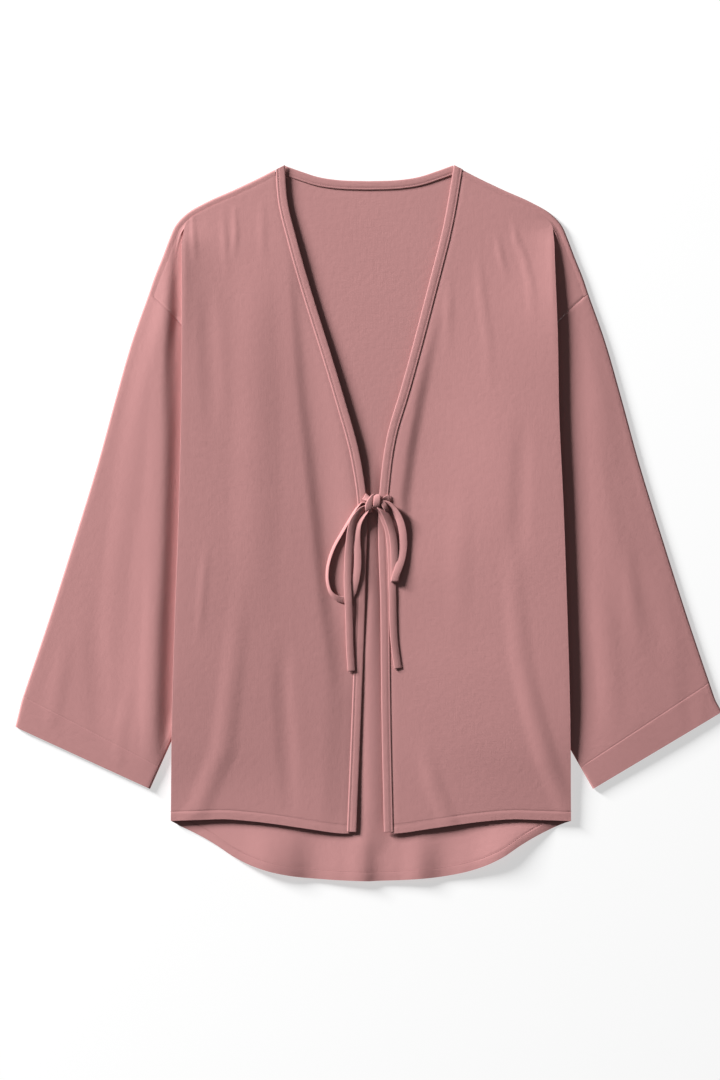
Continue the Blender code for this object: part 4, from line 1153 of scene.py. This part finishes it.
# %% The knot
KNOT_WRAPS = {
    "over": (table(
        "x y z roll width",
        (9.2, 30.6, 7.8, 0, 0.8), (9.4, 29, 10.6, 0, 0.88), (9.4, 25.8, 12.3, 0, 0.92),
        (9.2, 22, 12.5, 0, 0.92), (8.8, 18.4, 11.1, 0, 0.88), (8.6, 16.6, 8.2, 0, 0.8),
    ), 0.0024),
    "left": (table(
        "x y z roll width",
        (7, 30, 8, 10, 0.6), (4.8, 28.4, 10.3, 10, 0.7), (2.2, 24.2, 11.5, 8, 0.85),
        (0.4, 19.4, 11.5, 4, 0.95), (0.2, 15, 10.4, 0, 0.92), (1, 11.8, 7.8, 0, 0.8),
    ), 0.0026),
    "right": (table(
        "x y z roll width",
        (12.8, 26.2, 8.2, 0, 0.5), (15, 23.2, 10.5, 6, 0.6), (17.6, 19, 11.2, 10, 0.7),
        (19.6, 15, 10.2, 10, 0.6), (20.4, 12.8, 8.2, 10, 0.5),
    ), 0.0024),
}

# %% [markdown]
# ## Making the knot
# A wrap is a strap like the others, only thicker, so the same functions make it. The three are then one
# mesh.

# %% Making the knot
def join(name, objects):
    """One plain mesh out of several objects."""
    bm = bmesh.new()
    for obj in objects:
        bm.from_mesh(obj.data)
        bpy.data.objects.remove(obj)
    mesh = bpy.data.meshes.new(name)
    bm.to_mesh(mesh)
    bm.free()
    joined = bpy.data.objects.new(name, mesh)
    bpy.context.scene.collection.objects.link(joined)
    return joined


wraps = []
for name, (rows, thick) in KNOT_WRAPS.items():
    middle, wide, flat, width = strap_frames(rows)
    section = rounded_section(STRAP_WIDTH, thick, 7)
    wraps.append(sweep("wrap_" + name, middle, wide, flat, section, width))
knot = join("knot_cloth", wraps)
print("knot of", len(KNOT_WRAPS), "wraps")

# %% [markdown]
# ## Stitches
# The bands and the hems are held by lines of stitches. They repeat along a path, so Geometry Nodes make
# them: the tree turns the edges of a line mesh into curves, sets a point on them at each stitch, and
# puts a small capsule there that is turned along the line. Its sizes are named inputs. Instances have
# to become real before the tree ends, and the result is copied to a plain mesh.

# %% The stitches
STITCH_LENGTH = 0.0021
STITCH_PITCH = 0.0028
STITCH_WIDTH = 0.00036
STITCH_SIDES, STITCH_RINGS = 6, 4
STITCH_POINTS = STITCH_SIDES * (STITCH_RINGS - 1) + 2


def stitch_tree():
    """Node group that sets a stitch at each pitch along the edges of a mesh."""
    tree = bpy.data.node_groups.new("stitches along a line", "GeometryNodeTree")
    tree.interface.new_socket("Geometry", in_out="INPUT", socket_type="NodeSocketGeometry")
    for name in ("Pitch", "Length", "Width"):
        tree.interface.new_socket(name, in_out="INPUT", socket_type="NodeSocketFloat")
    tree.interface.new_socket("Thread", in_out="INPUT", socket_type="NodeSocketMaterial")
    tree.interface.new_socket("Geometry", in_out="OUTPUT", socket_type="NodeSocketGeometry")

    def node(kind, settings=(), links=()):
        made = tree.nodes.new(kind)
        for key, value in dict(settings).items():
            setattr(made, key, value)
        for key, value in dict(links).items():
            if isinstance(value, bpy.types.NodeSocket):
                tree.links.new(value, made.inputs[key])
            else:
                made.inputs[key].default_value = value
        return made

    sizes = node("NodeGroupInput").outputs
    paths = node("GeometryNodeMeshToCurve", links={"Mesh": sizes["Geometry"]})
    points = node("GeometryNodeCurveToPoints", {"mode": "LENGTH"},
                  {"Curve": paths.outputs["Curve"], "Length": sizes["Pitch"]})
    half = node("ShaderNodeMath", {"operation": "MULTIPLY"}, {0: sizes["Width"], 1: 0.5})
    body = node("GeometryNodeMeshUVSphere", links={
        "Segments": STITCH_SIDES, "Rings": STITCH_RINGS, "Radius": half.outputs[0]})
    longer = node("ShaderNodeMath", {"operation": "DIVIDE"}, {0: sizes["Length"], 1: sizes["Width"]})
    scale = node("ShaderNodeCombineXYZ", links={"X": 1.0, "Y": 1.0, "Z": longer.outputs[0]})
    placed = node("GeometryNodeInstanceOnPoints", links={
        "Points": points.outputs["Points"], "Instance": body.outputs["Mesh"],
        "Rotation": points.outputs["Rotation"], "Scale": scale.outputs[0]})
    real = node("GeometryNodeRealizeInstances", links={"Geometry": placed.outputs["Instances"]})
    shaded = node("GeometryNodeSetShadeSmooth", links={"Geometry": real.outputs["Geometry"]})
    coloured = node("GeometryNodeSetMaterial", links={
        "Geometry": shaded.outputs["Geometry"], "Material": sizes["Thread"]})
    result = node("NodeGroupOutput")
    tree.links.new(coloured.outputs["Geometry"], result.inputs["Geometry"])
    return tree

# %% [markdown]
# ## Stitches on a line
# A line becomes a mesh of edges with no faces, and the tree works on that. Each input of the modifier
# is found by its socket's identifier, because the name alone isn't accepted.

# %% Stitches on a line
def make_stitches(name, lines, tree, thread):
    """Plain mesh of the stitches along some lines."""
    verts, edges = [], []
    for line in lines:
        start = len(verts)
        verts.extend(map(tuple, line))
        edges.extend((start + i, start + i + 1) for i in range(len(line) - 1))
    mesh = bpy.data.meshes.new(name)
    mesh.from_pydata(verts, edges, [])
    obj = bpy.data.objects.new(name, mesh)
    bpy.context.scene.collection.objects.link(obj)
    modifier = obj.modifiers.new("stitches", "NODES")
    modifier.node_group = tree
    values = {"Pitch": STITCH_PITCH, "Length": STITCH_LENGTH, "Width": STITCH_WIDTH, "Thread": thread}
    for socket in tree.interface.items_tree:
        if socket.in_out == "INPUT" and socket.name in values:
            modifier[socket.identifier] = values[socket.name]
    bpy.context.view_layer.update()
    graph = bpy.context.evaluated_depsgraph_get()
    obj.data = bpy.data.meshes.new_from_object(obj.evaluated_get(graph))
    obj.data.name = name
    obj.modifiers.clear()
    print(name, len(obj.data.vertices) // STITCH_POINTS, "stitches")
    return obj


# %% [markdown]
# ## Shader maths
# Materials are networks of nodes. Written out one by one they are hard to read, so a small class wraps
# a socket and lets Python operators add the Math nodes: `1 - mask` is then a node as well. Every other
# node comes from one method, which takes its type, its settings and its sockets.

# %% A class for shader values
class Value:
    """A socket of a material's node tree, on which Python operators add Math nodes."""

    def __init__(self, shading, socket):
        self.shading, self.socket = shading, socket

    def maths(self, operation, *values):
        return self.shading.node("ShaderNodeMath", {"operation": operation},
                                 dict(enumerate(values))).out(0)

    def __add__(self, other):
        return self.maths("ADD", self, other)

    def __radd__(self, other):
        return self.maths("ADD", other, self)

    def __sub__(self, other):
        return self.maths("SUBTRACT", self, other)

    def __rsub__(self, other):
        return self.maths("SUBTRACT", other, self)

    def __mul__(self, other):
        return self.maths("MULTIPLY", self, other)

    def __rmul__(self, other):
        return self.maths("MULTIPLY", other, self)

# %% [markdown]
# ## Nodes and materials
# `Shading` holds the tree of one material. Its `node` adds any node, `mix` blends two colours, and
# `feed` sets the sockets of the surface, with an underscore where a socket's name has a space.

# %% Nodes and materials
class Made:
    """A node that was added, with its outputs as values."""

    def __init__(self, shading, node):
        self.shading, self.made = shading, node

    def out(self, key):
        return Value(self.shading, self.made.outputs[key])


class Shading:
    """Node tree of one material."""

    def __init__(self, name):
        self.material = bpy.data.materials.new(name)
        self.material.use_nodes = True
        self.tree = self.material.node_tree
        self.surface = self.tree.nodes["Principled BSDF"]

    def node(self, kind, settings=(), sockets=()):
        made = self.tree.nodes.new(kind)
        for key, value in dict(settings).items():
            setattr(made, key, value)
        for key, value in dict(sockets).items():
            if isinstance(value, Value):
                self.tree.links.new(value.socket, made.inputs[key])
            else:
                made.inputs[key].default_value = value
        return Made(self, made)

    def mix(self, factor, first, second):
        return self.node("ShaderNodeMix", {"data_type": "RGBA"},
                         {"Factor": factor, "A": first, "B": second})

    def feed(self, **sockets):
        for key, value in sockets.items():
            key = key.replace("_", " ")
            if isinstance(value, Value):
                self.tree.links.new(value.socket, self.surface.inputs[key])
            else:
                self.surface.inputs[key].default_value = value


# %% [markdown]
# ## Cloth
# The cloth is a light plain weave with a dry, faintly slubby face. Its threads are too fine to be seen
# one by one from a metre away, so what shows is their bump when one looks closely, slightly thicker
# threads that run with and across the grain, and a mild cloudiness of the dye. All of it follows the
# UV map in metres, so it turns with each panel as cut cloth does.

# %% The cloth
THREAD = 0.00055            # from one thread to the next
WAVE_SCALE = 0.314 / THREAD # of a Wave Texture that has one band for each thread


def colour(red, green, blue):
    """Linear colour from a screen colour of 0 to 255."""
    def linear(value):
        value = value / 255
        return value / 12.92 if value <= 0.04045 else ((value + 0.055) / 1.055) ** 2.4
    return (linear(red), linear(green), linear(blue), 1.0)


def shade(base, factor):
    """A colour made lighter or darker."""
    return tuple(channel * factor for channel in base[:3]) + (1.0,)


def make_cloth(name, base):
    """Woven cloth of one colour."""
    s = Shading(name)
    uv = s.node("ShaderNodeUVMap", {"uv_map": "cloth"}).out("UV")
    threads = []
    for direction in ("X", "Y"):
        threads.append(s.node("ShaderNodeTexWave", {"bands_direction": direction}, {
            "Vector": uv, "Scale": WAVE_SCALE, "Distortion": 1.2, "Detail": 1.0,
            "Detail Scale": 2.0}).out("Fac"))
    weave = threads[0] * threads[1]
    slubs = []
    for stretch in ((900, 60, 1), (60, 900, 1)):
        along = s.node("ShaderNodeMapping", sockets={"Vector": uv, "Scale": stretch}).out("Vector")
        slubs.append(s.node("ShaderNodeTexNoise", sockets={
            "Vector": along, "Scale": 1.0, "Detail": 3.0, "Roughness": 0.6}).out("Fac"))
    slub = slubs[0] * 0.5 + slubs[1] * 0.5
    cloud = s.node("ShaderNodeTexNoise", sockets={
        "Vector": uv, "Scale": 18.0, "Detail": 4.0, "Roughness": 0.55}).out("Fac")
    crinkle = s.node("ShaderNodeTexNoise", sockets={
        "Vector": uv, "Scale": 160.0, "Detail": 3.0, "Roughness": 0.5}).out("Fac")
    dyed = s.mix(cloud * 0.5 + slub * 0.5, shade(base, 0.93), shade(base, 1.07)).out("Result")
    worn = s.mix(weave * 0.35, dyed, shade(base, 0.90)).out("Result")
    height = weave * 0.00006 + slub * 0.00020 + crinkle * 0.00022
    bump = s.node("ShaderNodeBump", sockets={"Strength": 0.8, "Distance": 1.0, "Height": height})
    s.feed(Base_Color=worn, Roughness=0.94 - slub * 0.12, Normal=bump.out("Normal"))
    s.feed(Sheen_Weight=0.06, Sheen_Roughness=0.5, Specular_IOR_Level=0.12)
    return s.material

# %% [markdown]
# ## Rose cloth and thread
# The jacket has one dye. The bands and straps are a trace darker, as they look on the real one, and the
# thread is darker again, so that its lines show.

# %% Rose cloth and thread
ROSE = colour(186, 134, 133)
cloths = {
    "body": make_cloth("rose cloth", ROSE),
    "back": make_cloth("rose cloth, inner face", ROSE),
    "sleeve": make_cloth("rose cloth of the sleeves", ROSE),
    "band": make_cloth("rose cloth of the bands", shade(ROSE, 0.97)),
    "strap": make_cloth("rose cloth of the straps", shade(ROSE, 0.98)),
}


def make_thread(name, base):
    """Matt sewing thread with its twist."""
    s = Shading(name)
    place = s.node("ShaderNodeTexCoord").out("Object")
    twist = s.node("ShaderNodeTexNoise", sockets={"Vector": place, "Scale": 2500.0}).out("Fac")
    s.feed(Base_Color=s.mix(twist, shade(base, 0.85), shade(base, 1.1)).out("Result"), Roughness=0.75)
    return s.material


thread = make_thread("rose thread", shade(ROSE, 0.66))
tree = stitch_tree()
stitches = {name: make_stitches("stitches_" + name, lines, tree, thread)
            for name, lines in stitch_lines.items()}

# %% [markdown]
# ## Dressing the pieces
# Every piece takes one material. The stitches have theirs already, from the tree.

# %% Dressing the pieces
def wear(obj, material):
    """Give a piece its one material."""
    obj.data.materials.clear()
    obj.data.materials.append(material)


wear(back, cloths["back"])
wear(knot, cloths["strap"])
for side in SIDES:
    wear(fronts[side], cloths["body"])
    wear(sleeves[side], cloths["sleeve"])
    wear(straps[side], cloths["strap"])
for obj in bands.values():
    wear(obj, cloths["band"])

# %% [markdown]
# ## Floor and light
# The picture has a white floor and soft studio light that comes in low from the upper left, so that
# every crease shows. One large lamp, taller than it is wide, makes that light and the soft edges of
# the shadows, and a pale sky fills them. A floor that glows a little stays white and keeps them pale.

# %% Floor and lamp
REACH = 15                  # from the middle of the floor to its edges
corners = [(-REACH, -REACH, 0), (REACH, -REACH, 0), (REACH, REACH, 0), (-REACH, REACH, 0)]
floor_mesh = bpy.data.meshes.new("floor")
floor_mesh.from_pydata(corners, [], [(0, 1, 2, 3)])
floor = bpy.data.objects.new("floor", floor_mesh)
floor.location.z = -0.0002
bpy.context.scene.collection.objects.link(floor)
paper = Shading("pale floor")
paper.feed(Base_Color=(0.48, 0.48, 0.48, 1), Roughness=1.0, Specular_IOR_Level=0.0,
           Emission_Color=(1, 1, 1, 1), Emission_Strength=0.55)
floor_mesh.materials.append(paper.material)

# %% [markdown]
# ## The lamp
# A low lamp makes long shadows, and a large one makes them soft. This one stands 8 m away, so that it
# lights both sleeves nearly alike.

# %% The lamp
def add_lamp(name, direction, elevation, distance, size, power):
    """Large soft lamp that faces the jacket from a direction and a height in degrees."""
    lamp = bpy.data.lights.new(name, "AREA")
    lamp.shape = "RECTANGLE"
    lamp.size, lamp.size_y = size
    lamp.energy = power
    obj = bpy.data.objects.new(name, lamp)
    flat = Vector(direction).normalized() * math.cos(math.radians(elevation))
    way = Vector((flat.x, flat.y, math.sin(math.radians(elevation))))
    obj.location = way * distance
    obj.rotation_euler = way.to_track_quat("Z", "Y").to_euler()
    bpy.context.scene.collection.objects.link(obj)
    return obj


add_lamp("key", direction=(-1.0, 0.7), elevation=18.5, distance=8.0, size=(1.1, 2.5), power=1760)
world = bpy.data.worlds.new("studio")
world.use_nodes = True
world.node_tree.nodes["Background"].inputs["Color"].default_value = (1, 1, 1, 1)
world.node_tree.nodes["Background"].inputs["Strength"].default_value = 0.10
bpy.context.scene.world = world
bpy.context.scene.view_settings.view_transform = "Standard"
print("floor at", floor.location.z, "and", len(bpy.data.lights), "lamp")

# %% [markdown]
# ## What each piece stands for
# The last step ties the pieces to the frame: each rides on the body, and the solids it stands for are
# hidden.

# %% Ties to the frame
pieces = [back, knot, *fronts.values(), *sleeves.values(), *straps.values(), *bands.values(),
          *stitches.values()]
for piece in pieces:
    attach(piece, "root")
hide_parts("back_panel")
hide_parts("band_neck")
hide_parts("tie_knot")
for side in SIDES:
    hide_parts("front_" + side)
    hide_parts("sleeve_" + side)
    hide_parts("band_" + side)
    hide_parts("tie_" + side + "_loop", "tie_" + side + "_tail")
print(len(pieces), "pieces ride on the body")

# %% [markdown]
# ## Cloth of the sheets
# A shell has two faces, so half its surface is the cloth, and that area of each sheet is printed.

# %% Cloth of the sheets
def cloth_area(obj):
    """Area of one face of a shell, in square metres."""
    return sum(face.area for face in obj.data.polygons) / 2


for obj in [back, *fronts.values(), *sleeves.values(), *bands.values()]:
    print(obj.name, "cloth", round(cloth_area(obj), 4), "square metres")
for side in SIDES:
    stitches["front_" + side]
    stitches["band_" + side]
    stitches["sleeve_" + side]
for side in SIDES:
    line = strap_lines[side]
    [knot] if side == "left" else []
